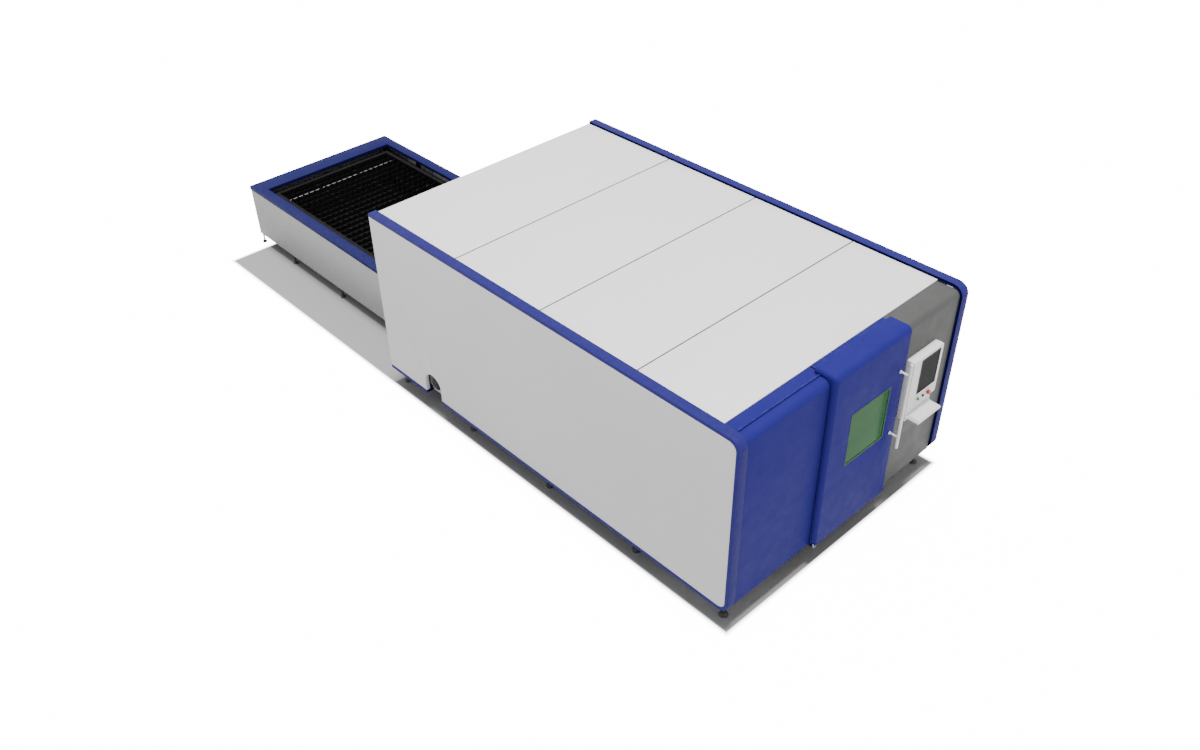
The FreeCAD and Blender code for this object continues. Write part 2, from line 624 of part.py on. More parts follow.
def machine_bed():
    """Two welded box beams carry the gantry; cross members tie them under the pallets."""
    outside = BED_INSIDE + BED_BEAM_WIDTH
    beam = square_tube(BED_INSIDE, outside, BED_FRONT, BED_REAR, BED_BOTTOM, BED_TOP, BED_PLATE, "y")
    ends = [block(BED_INSIDE, outside, y, y + BED_PLATE, BED_BOTTOM, BED_TOP)
            for y in [BED_FRONT, BED_REAR - BED_PLATE]]
    axle_tip = CHAIN_X - CHAIN_WIDTH / 2 - 6
    axle = rod(SHAFT_RADIUS, BED_INSIDE + BED_PLATE - axle_tip, V(axle_tip, IDLER_AXIS_Y, CHAIN_AXIS_Z),
               X_AXIS)
    right = union([beam] + ends + [axle])
    port = rod(DUCT_RADIUS - SHEET, BED_BEAM_WIDTH + 2, V(-outside - 1, ARCH_CENTRE_Y, DUCT_Z), X_AXIS)
    save("bed_side_beams", [right, mirrored(right).cut(port)])
    pitch = (BED_REAR - BED_FRONT - CROSS_WIDTH) / (CROSS_COUNT - 1)
    starts = [BED_FRONT + pitch * i for i in range(CROSS_COUNT)]
    save("bed_cross_members", [square_tube(-BED_INSIDE, BED_INSIDE, y, y + CROSS_WIDTH, BED_BOTTOM, CROSS_TOP,
                                           CROSS_PLATE, "x") for y in starts])
    save("scrap_trays", [scrap_tray(y + CROSS_WIDTH, y + pitch) for y in starts[:-1]])


def scrap_tray(y0, y1):
    """Open tray hung by its folded lips on two cross members."""
    gap = 6.0
    half = PALLET_WIDTH / 2 - 60
    floor = BED_BOTTOM + 15
    lip = 30.0
    body = block(-half, half, y0 + gap, y1 - gap, floor, CROSS_TOP + SHEET)
    lips = block(-half, half, y0 - lip, y1 + lip, CROSS_TOP, CROSS_TOP + SHEET)
    inside = block(-half + SHEET, half - SHEET, y0 + gap + SHEET, y1 - gap - SHEET, floor + SHEET,
                   CROSS_TOP + SHEET + 1)
    return body.fuse(lips).removeSplitter().cut(inside)


def wheel_rail_top(pallet_top):
    """Level that the wheels of a pallet roll on."""
    return pallet_top - PALLET_HEIGHT - WHEEL_DROP


def pallet_rails(y0, y1, bracket_ys, bracket_outside):
    """Rails of both levels on both sides, with the brackets that carry them."""
    rail_outside = PALLET_RAIL_INSIDE + PALLET_RAIL_WIDTH
    pieces = []
    for top in [wheel_rail_top(UPPER_TOP), wheel_rail_top(LOWER_TOP)]:
        z0 = top - PALLET_RAIL_HEIGHT
        pieces.append(square_tube(PALLET_RAIL_INSIDE, rail_outside, y0, y1, z0, top, PALLET_RAIL_WALL, "y"))
        for y in bracket_ys:
            pieces.append(square_tube(rail_outside, bracket_outside, y - 20, y + 20, z0, top,
                                      PALLET_RAIL_WALL, "x"))
    return both_sides(pieces)


def bed_pallet_rails():
    first = BED_FRONT + 200
    last = IDLER_AXIS_Y - CHAIN_PITCH_RADIUS - 100
    brackets = [first + (last - first) * i / 3 for i in range(4)]
    save("bed_pallet_rails", pallet_rails(BED_FRONT, SHUTTER_Y - RAIL_BREAK, brackets, BED_INSIDE))


def foot(x, y, top, pad_radius, stem_radius):
    """Levelling foot: a turned pad, a threaded stem and a lock nut under the frame."""
    pad = rod(pad_radius, FOOT_PAD, V(x, y, 0), Z_AXIS)
    cone = Part.makeCone(pad_radius - FOOT_BEVEL, stem_radius + FOOT_BEVEL, FOOT_PAD, V(x, y, FOOT_PAD),
                         Z_AXIS)
    stem = rod(stem_radius, top, V(x, y, 0), Z_AXIS)
    nut_radius = stem_radius * FOOT_NUT_RATIO
    angles = [math.pi / 3 * i for i in range(7)]
    corners = [V(x + nut_radius * math.cos(a), y + nut_radius * math.sin(a), top - FOOT_NUT) for a in angles]
    nut = Part.Face(Part.makePolygon(corners)).extrude(V(0, 0, FOOT_NUT))
    return union([pad, cone, stem, nut])


def feet():
    cabin_x = WALL_INSIDE - TUBE / 2
    bed_x = BED_INSIDE + BED_BEAM_WIDTH / 2
    cabin_ys = [HEADER_Y + TUBE / 2] + SEAMS + [REAR_WALL_Y - TUBE / 2]
    cabin = [foot(cabin_x, y, WALL_BOTTOM, CABIN_PAD_RADIUS, CABIN_STEM_RADIUS) for y in cabin_ys]
    pitch = (BED_REAR - BED_FRONT - 2 * BED_FOOT_INSET) / (BED_FEET - 1)
    bed_ys = [BED_FRONT + BED_FOOT_INSET + pitch * i for i in range(BED_FEET)]
    bed = [foot(bed_x, y, BED_BOTTOM, BED_PAD_RADIUS, BED_STEM_RADIUS) for y in bed_ys]
    table_x = LEG_OUTSIDE - TABLE_TUBE / 2
    table = [foot(table_x, y, TABLE_SILL_Z, TABLE_PAD_RADIUS, TABLE_STEM_RADIUS) for y in LEG_YS]
    save("levelling_feet", both_sides(cabin + bed + table))


# ---------------------------------------------------------------- rear shutter and exhaust

def rear_shutter():
    """Lift door over the pallet port, parked above it, and its two upper guides."""
    half_t = SHUTTER_THICKNESS / 2
    y0 = SHUTTER_Y - half_t
    y1 = SHUTTER_Y + half_t
    z0 = SHUTTER_REST_BOTTOM
    z1 = z0 + SHUTTER_HEIGHT
    door = pan(-SHUTTER_HALF_WIDTH, SHUTTER_HALF_WIDTH, y0, y1, z0, z1, "rear")
    tongue_bottom = z1 - (z0 - GUIDE_BOTTOM)
    tongue = block(SHUTTER_HALF_WIDTH - SHEET, SHUTTER_HALF_WIDTH + SHUTTER_TONGUE, SHUTTER_Y - 5,
                   SHUTTER_Y + 5, tongue_bottom, z1)
    save("rear_shutter", [union([door] + both_sides([tongue]))])
    inner = SHUTTER_HALF_WIDTH + SHEET
    bar = block(inner, inner + 30, y0, REAR_WALL_Y, GUIDE_BOTTOM, z1 + 20)
    groove = block(inner - 1, SHUTTER_HALF_WIDTH + SHUTTER_TONGUE + 2, SHUTTER_Y - 5 - SLIDE_GAP,
                   SHUTTER_Y + 5 + SLIDE_GAP, GUIDE_BOTTOM - 1, z1 + 21)
    save("shutter_guides", both_sides([bar.cut(groove)]))


def exhaust_duct():
    """Sheet duct from the bed's side to a round spigot in the arch."""
    bed_side = -BED_INSIDE - BED_BEAM_WIDTH
    box_half = DUCT_RADIUS + 10
    box_outside = -POST_INSIDE + 40
    case = block(box_outside, bed_side, ARCH_CENTRE_Y - box_half, ARCH_CENTRE_Y + box_half,
                 DUCT_Z - box_half, DUCT_Z + box_half)
    hollow = block(box_outside + SHEET, bed_side + 1, ARCH_CENTRE_Y - box_half + SHEET,
                   ARCH_CENTRE_Y + box_half - SHEET, DUCT_Z - box_half + SHEET, DUCT_Z + box_half - SHEET)
    mouth = -HALF_WIDTH + DUCT_REACH
    spigot = rod(DUCT_RADIUS, box_outside + SHEET - mouth, V(mouth, ARCH_CENTRE_Y, DUCT_Z), X_AXIS)
    bore = rod(DUCT_RADIUS - SHEET, box_outside + SHEET - mouth + 2, V(mouth - 1, ARCH_CENTRE_Y, DUCT_Z),
               X_AXIS)
    save("exhaust_duct", [union([case.cut(hollow), spigot]).cut(bore)])


# ---------------------------------------------------------------- pallets

def pallet_frame(top, y0):
    """Welded tube frame with two bearers under the slats and a drive dog at each rear corner."""
    half = PALLET_WIDTH / 2
    y1 = y0 + PALLET_LENGTH
    z0 = top - PALLET_HEIGHT
    t = PALLET_TUBE
    inner = half - t
    side = square_tube(inner, half, y0, y1, z0, top, PALLET_WALL, "y")
    bores = [rod(AXLE_RADIUS + RUNNING_GAP, t + 2, V(inner - 1, y, axle_z(top)), X_AXIS) for y in axle_ys(y0)]
    side = side.cut(bores[0].fuse(bores[1]))
    dog_y = y1 - DOG_INSET
    dog_z = dog_level(top)
    dog = block(half, CHAIN_X - CHAIN_WIDTH / 2 - SLIDE_GAP, dog_y - DOG_WIDTH / 2, dog_y + DOG_WIDTH / 2, dog_z,
                dog_z + DOG_HEIGHT)
    slat_bottom = top - SLAT_HEIGHT
    bearer = square_tube(inner / 3, inner / 3 + 30, y0 + t, y1 - t, z0, slat_bottom, SHEET, "y")
    channels = [rod(AXLE_RADIUS + 2, 34, V(inner / 3 - 2, y, axle_z(top)), X_AXIS) for y in axle_ys(y0)]
    bearer = bearer.cut(channels[0].fuse(channels[1]))
    pieces = both_sides([side, dog, bearer])
    for y in [y0, y1 - t]:
        pieces.append(square_tube(-inner, inner, y, y + t, z0, top, PALLET_WALL, "x"))
    return pieces


def dog_level(top):
    """Underside of a dog, which pins to the side of the strand of chain that pulls it."""
    sign = 1 if top == UPPER_TOP else -1
    return CHAIN_AXIS_Z + sign * CHAIN_PITCH_RADIUS - DOG_HEIGHT / 2


def axle_z(top):
    return wheel_rail_top(top) + WHEEL_RADIUS + SLIDE_GAP


def axle_ys(y0):
    return [y0 + AXLE_INSET, y0 + PALLET_LENGTH - AXLE_INSET]


def slat(top, y):
    """One support slat: a plate with a sawtooth upper edge, running from side to side."""
    half = PALLET_WIDTH / 2 - PALLET_TUBE
    pitch = 2 * half / round(2 * half / 80.0)
    count = round(2 * half / pitch)
    z0 = top - SLAT_HEIGHT
    points = [V(-half, y, z0)]
    for i in range(count):
        points.append(V(-half + pitch * i, y, top - SLAT_TOOTH))
        points.append(V(-half + pitch * (i + 0.5), y, top))
    points.append(V(half, y, top - SLAT_TOOTH))
    points.append(V(half, y, z0))
    points.append(points[0])
    return Part.Face(Part.makePolygon(points)).extrude(V(0, SLAT_THICKNESS, 0))


def wheelset(top, y):
    """A cross axle with a plain steel wheel pressed on each end."""
    z = axle_z(top)
    reach = WHEEL_INSIDE + WHEEL_WIDTH
    axle = rod(AXLE_RADIUS, 2 * reach, V(-reach, y, z), X_AXIS)
    wheel = rod(WHEEL_RADIUS, WHEEL_WIDTH, V(WHEEL_INSIDE, y, z), X_AXIS)
    relief = ring(WHEEL_RADIUS - 7, AXLE_RADIUS + 9, 6, V(reach - 6, y, z), X_AXIS)
    wheel = wheel.cut(relief)
    return union([axle] + both_sides([wheel]))


def pallets():
    starts = {"upper": (UPPER_TOP, PALLET_INSIDE_Y + PALLET_TRAVEL), "lower": (LOWER_TOP, PALLET_INSIDE_Y)}
    for name, (top, y0) in starts.items():
        save(name + "_pallet_frame", pallet_frame(top, y0))
        first = y0 + SLAT_START - SLAT_THICKNESS / 2
        save(name + "_pallet_slats", [slat(top, first + SLAT_PITCH * i) for i in range(SLAT_COUNT)])
        for end, y in zip(["front", "rear"], axle_ys(y0)):
            save(name + "_" + end + "_wheelset", [wheelset(top, y)])


# ---------------------------------------------------------------- chain drive

def sprocket(y):
    """Toothed disc inside the chain loop on the right-hand side."""
    tip = CHAIN_PITCH_RADIUS - CHAIN_HEIGHT / 2 - SLIDE_GAP
    root = tip - 7.0
    x0 = CHAIN_X - CHAIN_WIDTH / 4
    points = []
    for i in range(SPROCKET_TEETH * 4):
        radius = tip if i % 4 in (1, 2) else root
        angle = 2 * math.pi * (i + (0.3 if i % 4 == 1 else -0.3 if i % 4 == 2 else 0)) / (SPROCKET_TEETH * 4)
        points.append(V(x0, y + radius * math.cos(angle), CHAIN_AXIS_Z + radius * math.sin(angle)))
    points.append(points[0])
    disc = Part.Face(Part.makePolygon(points)).extrude(V(CHAIN_WIDTH / 2, 0, 0))
    return disc


def chain_loop():
    """Closed roller chain round the drive sprocket and the idler, as its outer envelope."""
    x0 = CHAIN_X - CHAIN_WIDTH / 2

    def oval(radius):
        middle = block(x0, x0 + CHAIN_WIDTH, IDLER_AXIS_Y, DRIVE_AXIS_Y, CHAIN_AXIS_Z - radius,
                       CHAIN_AXIS_Z + radius)
        ends = [rod(radius, CHAIN_WIDTH, V(x0, y, CHAIN_AXIS_Z), X_AXIS)
                for y in [IDLER_AXIS_Y, DRIVE_AXIS_Y]]
        return union([middle] + ends)

    return oval(CHAIN_PITCH_RADIUS + CHAIN_HEIGHT / 2).cut(oval(CHAIN_PITCH_RADIUS - CHAIN_HEIGHT / 2))


def chain_drive():
    save("drive_chains", both_sides([chain_loop()]))
    hub = rod(SHAFT_RADIUS + SPROCKET_HUB, CHAIN_WIDTH,
              V(CHAIN_X - CHAIN_WIDTH / 2, IDLER_AXIS_Y, CHAIN_AXIS_Z), X_AXIS)
    idler = union([sprocket(IDLER_AXIS_Y), hub])
    bore = rod(SHAFT_RADIUS + RUNNING_GAP, 4 * CHAIN_WIDTH,
               V(CHAIN_X - 2 * CHAIN_WIDTH, IDLER_AXIS_Y, CHAIN_AXIS_Z), X_AXIS)
    save("idler_sprockets", both_sides([idler.cut(bore)]))
    reach = CHAIN_X + CHAIN_WIDTH / 2
    shaft = rod(SHAFT_RADIUS, 2 * reach, V(-reach, DRIVE_AXIS_Y, CHAIN_AXIS_Z), X_AXIS)
    save("drive_shaft", [union([shaft] + both_sides([sprocket(DRIVE_AXIS_Y)]))])
    bore = rod(SHAFT_RADIUS + RUNNING_GAP, 2 * reach, V(-reach, DRIVE_AXIS_Y, CHAIN_AXIS_Z), X_AXIS)
    rail_face = REAR_RAIL_OUTSIDE - TABLE_TUBE
    bearing_x = CHAIN_X - BEARING_INSET
    b = BEARING_HALF
    z_low = CHAIN_AXIS_Z - TABLE_TUBE / 2
    z_high = CHAIN_AXIS_Z + TABLE_TUBE / 2
    housing = rounded_plate(DRIVE_AXIS_Y - b, DRIVE_AXIS_Y + b, CHAIN_AXIS_Z - b, CHAIN_AXIS_Z + b,
                            BEARING_CORNER, BEARING_WIDTH, bearing_x, "x")
    strap = block(bearing_x, bearing_x + BEARING_WIDTH, DRIVE_AXIS_Y, rail_face, z_low, z_high)
    save("shaft_bearings", both_sides([union([housing, strap]).cut(bore)]))
    r = MOTOR_RADIUS
    motor_x = GEARBOX_X + GEARBOX_WIDTH / 2
    case_bottom = CHAIN_AXIS_Z - GEARBOX_DROP
    case = rounded_plate(DRIVE_AXIS_Y - r, DRIVE_AXIS_Y + r, case_bottom, CHAIN_AXIS_Z + r, GEARBOX_CORNER,
                         GEARBOX_WIDTH, GEARBOX_X, "x")
    motor = rod(r, MOTOR_LENGTH, V(motor_x, DRIVE_AXIS_Y, case_bottom + MOTOR_SPIGOT - MOTOR_LENGTH), Z_AXIS)
    motor_flange = rod(r + MOTOR_FLANGE / 2, MOTOR_FLANGE,
                       V(motor_x, DRIVE_AXIS_Y, case_bottom - MOTOR_FLANGE), Z_AXIS)
    arm_half = BEARING_WIDTH / 2
    arm = block(motor_x - arm_half, motor_x + arm_half, DRIVE_AXIS_Y, rail_face, z_low, z_high)
    save("shuttle_gearmotor", [union([case, motor, motor_flange, arm]).cut(bore)])


# ---------------------------------------------------------------- gantry

def gantry_guideways():
    """Linear rail and magnet track on top of each bed beam."""
    y0 = BED_FRONT + 20
    y1 = BED_REAR - 5
    rail = block(GANTRY_RAIL_X - GANTRY_RAIL_WIDTH / 2, GANTRY_RAIL_X + GANTRY_RAIL_WIDTH / 2, y0, y1, BED_TOP,
                 BED_TOP + GANTRY_RAIL_HEIGHT)
    waist = [block(x, x + 4, y0 - 1, y1 + 1, BED_TOP + 10, BED_TOP + 18)
             for x in [GANTRY_RAIL_X - GANTRY_RAIL_WIDTH / 2 - 1, GANTRY_RAIL_X + GANTRY_RAIL_WIDTH / 2 - 3]]
    magnets = block(MAGNET_X - MAGNET_WIDTH / 2, MAGNET_X + MAGNET_WIDTH / 2, y0, y1, BED_TOP,
                    BED_TOP + MAGNET_HEIGHT)
    save("gantry_guideways", both_sides([rail.cut(waist[0]).cut(waist[1]), magnets]))


def gantry():
    """Box beam across the bed with an end block on each side that rides the linear rails."""
    y = GANTRY_REST_Y
    half_d = BEAM_DEPTH / 2
    beam = square_tube(-BEAM_HALF_LENGTH, BEAM_HALF_LENGTH, y - half_d, y + half_d, BEAM_BOTTOM, BEAM_TOP,
                       BEAM_PLATE, "x")
    ribs = [block(x - 4, x + 4, y - half_d + BEAM_PLATE, y + half_d - BEAM_PLATE, BEAM_BOTTOM + BEAM_PLATE,
                  BEAM_TOP - BEAM_PLATE) for x in [-690, -230, 230, 690]]
    rails = [block(-BEAM_HALF_LENGTH + 60, BEAM_HALF_LENGTH - 60, y - half_d - HEAD_RAIL_HEIGHT, y - half_d,
                   z - HEAD_RAIL_WIDTH / 2, z + HEAD_RAIL_WIDTH / 2) for z in head_rail_levels()]
    save("gantry_beam", [union([beam] + ribs)])
    save("gantry_beam_rails", rails)
    block_top = BEAM_BOTTOM - 30
    half_w = GANTRY_RAIL_WIDTH / 2
    pieces = []
    for offset in [-95, 95]:
        body = block(GANTRY_RAIL_X - 50, GANTRY_RAIL_X + 50, y + offset - 65, y + offset + 65, BED_TOP + 8,
                     block_top)
        groove = block(GANTRY_RAIL_X - half_w - SLIDE_GAP, GANTRY_RAIL_X + half_w + SLIDE_GAP,
                       y + offset - 70, y + offset + 70, BED_TOP,
                       BED_TOP + GANTRY_RAIL_HEIGHT + SLIDE_GAP)
        pieces.append(body.cut(groove))
    pieces.append(block(GANTRY_RAIL_X - 60, MAGNET_X + 50, y - 170, y + 170, block_top, BEAM_BOTTOM))
    forcer_bottom = BED_TOP + MAGNET_HEIGHT + 2
    pieces.append(block(MAGNET_X - MAGNET_WIDTH / 2, MAGNET_X + MAGNET_WIDTH / 2, y - 140, y + 140,
                        forcer_bottom, block_top))
    save("gantry_end_blocks", both_sides(pieces))


def head_rail_levels():
    return [BEAM_BOTTOM + 40, BEAM_TOP - 40]


def cutting_head():
    """Cross carriage on the beam, the vertical slide on it, and the cutting head with its nozzle."""
    face = GANTRY_REST_Y - BEAM_DEPTH / 2
    plate_back = face - HEAD_RAIL_HEIGHT - 12
    plate_front = plate_back - 20
    half_w = HEAD_RAIL_WIDTH / 2
    pieces = [block(-150, 150, plate_front, plate_back, BEAM_BOTTOM, BEAM_TOP)]
    for z in head_rail_levels():
        for x in [-90, 90]:
            body = block(x - 45, x + 45, plate_back, face - 6, z - 28, z + 28)
            groove = block(x - 50, x + 50, face - HEAD_RAIL_HEIGHT - SLIDE_GAP, face, z - half_w - SLIDE_GAP,
                           z + half_w + SLIDE_GAP)
            pieces.append(body.cut(groove))
    slide_rail_y = plate_front - 16
    for x in [-60, 60]:
        pieces.append(block(x - 10, x + 10, slide_rail_y, plate_front, BEAM_BOTTOM, BEAM_TOP))
    save("head_carriage", pieces)
    slide_back = slide_rail_y - 8
    slide = block(-90, 90, slide_back - 18, slide_back, BEAM_BOTTOM + 20, BEAM_TOP + 200)
    shoes = []
    for x in [-60, 60]:
        shoe = block(x - 22, x + 22, slide_back, plate_front - 4, BEAM_TOP - 80, BEAM_TOP - 10)
        groove = block(x - 10 - SLIDE_GAP, x + 10 + SLIDE_GAP, slide_rail_y - SLIDE_GAP, plate_front,
                       BEAM_TOP - 81, BEAM_TOP - 9)
        shoes.append(shoe.cut(groove))
    save("vertical_slide", [union([slide] + shoes)])
    y = GANTRY_REST_Y - HEAD_OFFSET
    neck_bottom = TIP_Z + 60
    shoulder = TIP_Z + 190
    lens_block = rounded_plate(-HEAD_RADIUS - 10, HEAD_RADIUS + 10, y - HEAD_RADIUS - 10, slide_back - 18, 14,
                               260, shoulder + 20, "z")
    barrel = rod(HEAD_RADIUS, 200, V(0, y, shoulder), Z_AXIS)
    collimator = rod(HEAD_RADIUS - 8, 170, V(0, y, shoulder + 260), Z_AXIS)
    neck = rod(NECK_RADIUS, shoulder - neck_bottom + 5, V(0, y, neck_bottom), Z_AXIS)
    fibre_cap = rod(18, 60, V(0, y, shoulder + 425), Z_AXIS)
    save("cutting_head", [union([lens_block, barrel, collimator, neck, fibre_cap])])
    sensor = rod(18, neck_bottom - TIP_Z - 25, V(0, y, TIP_Z + 25), Z_AXIS)
    cone = Part.makeCone(4, 15, 25, V(0, y, TIP_Z), Z_AXIS)
    gas_way = rod(1.5, 80, V(0, y, TIP_Z - 1), Z_AXIS)
    save("nozzle", [union([sensor, cone]).cut(gas_way)])


# ---------------------------------------------------------------- cabinets in the front corners

def cabinet(x0, x1, top):
    """Sheet enclosure on a plinth, with a door leaf on its rear face."""
    y0 = CABINET_FRONT
    y1 = CABINET_FRONT + CABINET_DEPTH
    w = CABINET_WALL
    b = PLINTH_INSET
    c = PLINTH_INSET + PLINTH_WALL
    d = LEAF_INSET
    e = LEAF_INSET + w
    z0 = PLINTH_HEIGHT
    shell = block(x0, x1, y0, y1, z0, top).cut(
        block(x0 + w, x1 - w, y0 + w, y1 - w, z0 + w, top - w))
    base = block(x0 + b, x1 - b, y0 + b, y1 - b, 0, z0).cut(
        block(x0 + c, x1 - c, y0 + c, y1 - c, -1, z0 + 1))
    leaf = block(x0 + d, x1 - d, y1, y1 + LEAF_DEPTH, z0 + d, top - d).cut(
        block(x0 + e, x1 - e, y1 - 1, y1 + LEAF_DEPTH - w, z0 + e, top - e))
    return [shell, base, leaf]


def cabinets():
    side = POST_INSIDE
    save("laser_source", cabinet(-side, -side + SOURCE_WIDTH, SOURCE_TOP))
    save("electrical_cabinet", cabinet(side - CONTROLS_WIDTH, side, CONTROLS_TOP))


# ---------------------------------------------------------------- shuttle table

def table_frame():
    """Welded tubes: legs, floor-level ties, top rails and the rear rail that holds the drive."""
    t = TABLE_TUBE
    w = TABLE_TUBE_WALL
    sill_top = TABLE_SILL_Z + t
    seat = TABLE_TOP - SHEET
    front = CABIN_LENGTH + 4
    rear = REAR_RAIL_OUTSIDE
    sides = [square_tube(LEG_INSIDE, LEG_OUTSIDE, front, rear, TABLE_SILL_Z, sill_top, w, "y"),
             square_tube(LEG_INSIDE, LEG_OUTSIDE, front, rear, seat - t, seat, w, "y")]
    for y in LEG_YS:
        sides.append(square_tube(LEG_INSIDE, LEG_OUTSIDE, y - t / 2, y + t / 2, sill_top, seat - t, w, "z"))
    tubes = both_sides(sides)
    for y in LEG_YS:
        tubes.append(square_tube(-LEG_INSIDE, LEG_INSIDE, y - t / 2, y + t / 2, TABLE_SILL_Z, sill_top, w,
                                 "x"))
    tubes.append(square_tube(-LEG_INSIDE, LEG_INSIDE, rear - t, rear, seat - t, seat, w, "x"))
    tubes.append(square_tube(-LEG_INSIDE, LEG_INSIDE, rear - t, rear, CHAIN_AXIS_Z - t / 2,
                             CHAIN_AXIS_Z + t / 2, w, "x"))
    save("table_frame", tubes)
    tray = block(-LEG_INSIDE + PANEL_GAP, LEG_INSIDE - PANEL_GAP, front, rear - t, sill_top,
                 sill_top + SHEET)
    save("table_tray", [tray])
    save("table_pallet_rails", pallet_rails(SHUTTER_Y + RAIL_BREAK, MACHINE_REAR - TABLE_REAR_RIM - 20,
                                            LEG_YS[:4], LEG_INSIDE))


def table_rim():
    """Folded cap round three sides of the table, open towards the cabin."""
    z0 = TABLE_TOP - TABLE_RIM_DEPTH
    outer = block(-TABLE_HALF_WIDTH, TABLE_HALF_WIDTH, CABIN_LENGTH, MACHINE_REAR, z0, TABLE_TOP)
    well_rear = MACHINE_REAR - TABLE_REAR_RIM
    well = block(-TABLE_WELL, TABLE_WELL, CABIN_LENGTH - 1, well_rear, z0 - 1, TABLE_TOP + 1)
    under = block(-TABLE_HALF_WIDTH + SHEET, TABLE_HALF_WIDTH - SHEET, CABIN_LENGTH - 1, MACHINE_REAR - SHEET,
                  z0 - 1, TABLE_TOP - SHEET)
    under = under.cut(block(-TABLE_WELL - SHEET, TABLE_WELL + SHEET, CABIN_LENGTH - 2, well_rear + SHEET,
                            z0 - 2, TABLE_TOP))
    save("table_rim", [outer.cut(well).cut(under)])


def table_skirts():
    """Flat cladding sheets with a folded foot, screwed to the outside of the legs."""
    x1 = TABLE_HALF_WIDTH - SKIRT_INSET
    top = TABLE_TOP - SHEET
    hem = 9.0
    side = block(x1 - SHEET, x1, CABIN_LENGTH + 2, MACHINE_REAR - SKIRT_INSET - SHEET, SKIRT_BOTTOM, top)
    side_hem = block(x1 - hem, x1, CABIN_LENGTH + 2, MACHINE_REAR - SKIRT_INSET - SHEET, SKIRT_BOTTOM,
                     SKIRT_BOTTOM + SHEET)
    y1 = MACHINE_REAR - SKIRT_INSET
    rear = block(-x1, x1, y1 - SHEET, y1, SKIRT_BOTTOM, top)
    rear_hem = block(-x1 + hem, x1 - hem, y1 - hem, y1, SKIRT_BOTTOM, SKIRT_BOTTOM + SHEET)
    save("table_skirts", both_sides([union([side, side_hem])]) + [union([rear, rear_hem])])


# ---------------------------------------------------------------- operator console

def button_x(index):
    return BUTTON_FIRST_X + BUTTON_PITCH * index


def console():
    """Sheet housing with a narrower chin, screwed to the front panel beside the door."""
    back = FRONT_FACE
    w = CONSOLE_SHEET
    right = CONSOLE_LEFT + CONSOLE_WIDTH
    depth = back - CONSOLE_FACE
    body = rounded_plate(CONSOLE_LEFT, right, CONSOLE_BOTTOM, CONSOLE_TOP, CONSOLE_RADIUS, depth,
                         CONSOLE_FACE, "y")
    chin = rounded_plate(CONSOLE_LEFT, CONSOLE_LEFT + CHIN_WIDTH, CHIN_BOTTOM, CONSOLE_BOTTOM + 60,
                         CONSOLE_RADIUS, depth, CONSOLE_FACE, "y")
    hollow = block(CONSOLE_LEFT + w, right - w, CONSOLE_FACE + w, back + 1, CONSOLE_BOTTOM + w,
                   CONSOLE_TOP - w)
    chin_hollow = block(CONSOLE_LEFT + w, CONSOLE_LEFT + CHIN_WIDTH - w, CONSOLE_FACE + w, back + 1,
                        CHIN_BOTTOM + w, CONSOLE_BOTTOM + 50)
    screen_right = SCREEN_LEFT + SCREEN_WIDTH
    screen_top = SCREEN_BOTTOM + SCREEN_HEIGHT
    frame_gap = 0.5
    cut_out = block(SCREEN_LEFT - frame_gap, screen_right + frame_gap, CONSOLE_FACE - 1, CONSOLE_FACE + w + 1,
                    SCREEN_BOTTOM - frame_gap, screen_top + frame_gap)
    housing = union([body, chin]).cut(hollow).cut(chin_hollow).cut(cut_out)
    for i in range(3):
        housing = housing.cut(rod(BUTTON_RADIUS, w + 2, V(button_x(i), CONSOLE_FACE - 1, BUTTON_Z), Y_AXIS))
    lug_z = SHELF_PIVOT_Z
    for x in [CONSOLE_LEFT, CONSOLE_LEFT + CHIN_WIDTH - SHELF_LUG]:
        lug = block(x, x + SHELF_LUG, SHELF_PIVOT_Y, CONSOLE_FACE + w, lug_z - 9, lug_z + 9)
        lug = lug.fuse(rod(9, SHELF_LUG, V(x, SHELF_PIVOT_Y, lug_z), X_AXIS))
        bore = rod(SHELF_PIN_RADIUS + RUNNING_GAP, SHELF_LUG + 2, V(x - 1, SHELF_PIVOT_Y, lug_z), X_AXIS)
        housing = union([housing, lug]).cut(bore)
    save("console_housing", [housing])
    save("console_screen", [block(SCREEN_LEFT, screen_right, CONSOLE_FACE - 1, CONSOLE_FACE + 14,
                                  SCREEN_BOTTOM, screen_top)])


def keyboard_shelf():
    """Shelf that hinges down flat against the console, with a thin keyboard clipped on it."""
    gap = 1.0
    x0 = CONSOLE_LEFT + SHELF_LUG + gap
    x1 = CONSOLE_LEFT + CHIN_WIDTH - SHELF_LUG - gap
    top = SHELF_PIVOT_Z + 12
    board = block(x0, x1, -SHELF_REACH, SHELF_PIVOT_Y, top - SHELF_THICKNESS, top)
    knuckle = rod(SHELF_KNUCKLE_RADIUS, x1 - x0, V(x0, SHELF_PIVOT_Y, SHELF_PIVOT_Z), X_AXIS)
    pin = rod(SHELF_PIN_RADIUS, x1 - x0 + 2 * (SHELF_LUG + gap),
              V(CONSOLE_LEFT, SHELF_PIVOT_Y, SHELF_PIVOT_Z), X_AXIS)
    save("keyboard_shelf", [union([board, knuckle, pin])])
    margin = 10.0
    save("keyboard", [block(x0 + margin, x1 - margin, -SHELF_REACH + margin / 2, SHELF_PIVOT_Y - margin,
                            top, top + 12)])


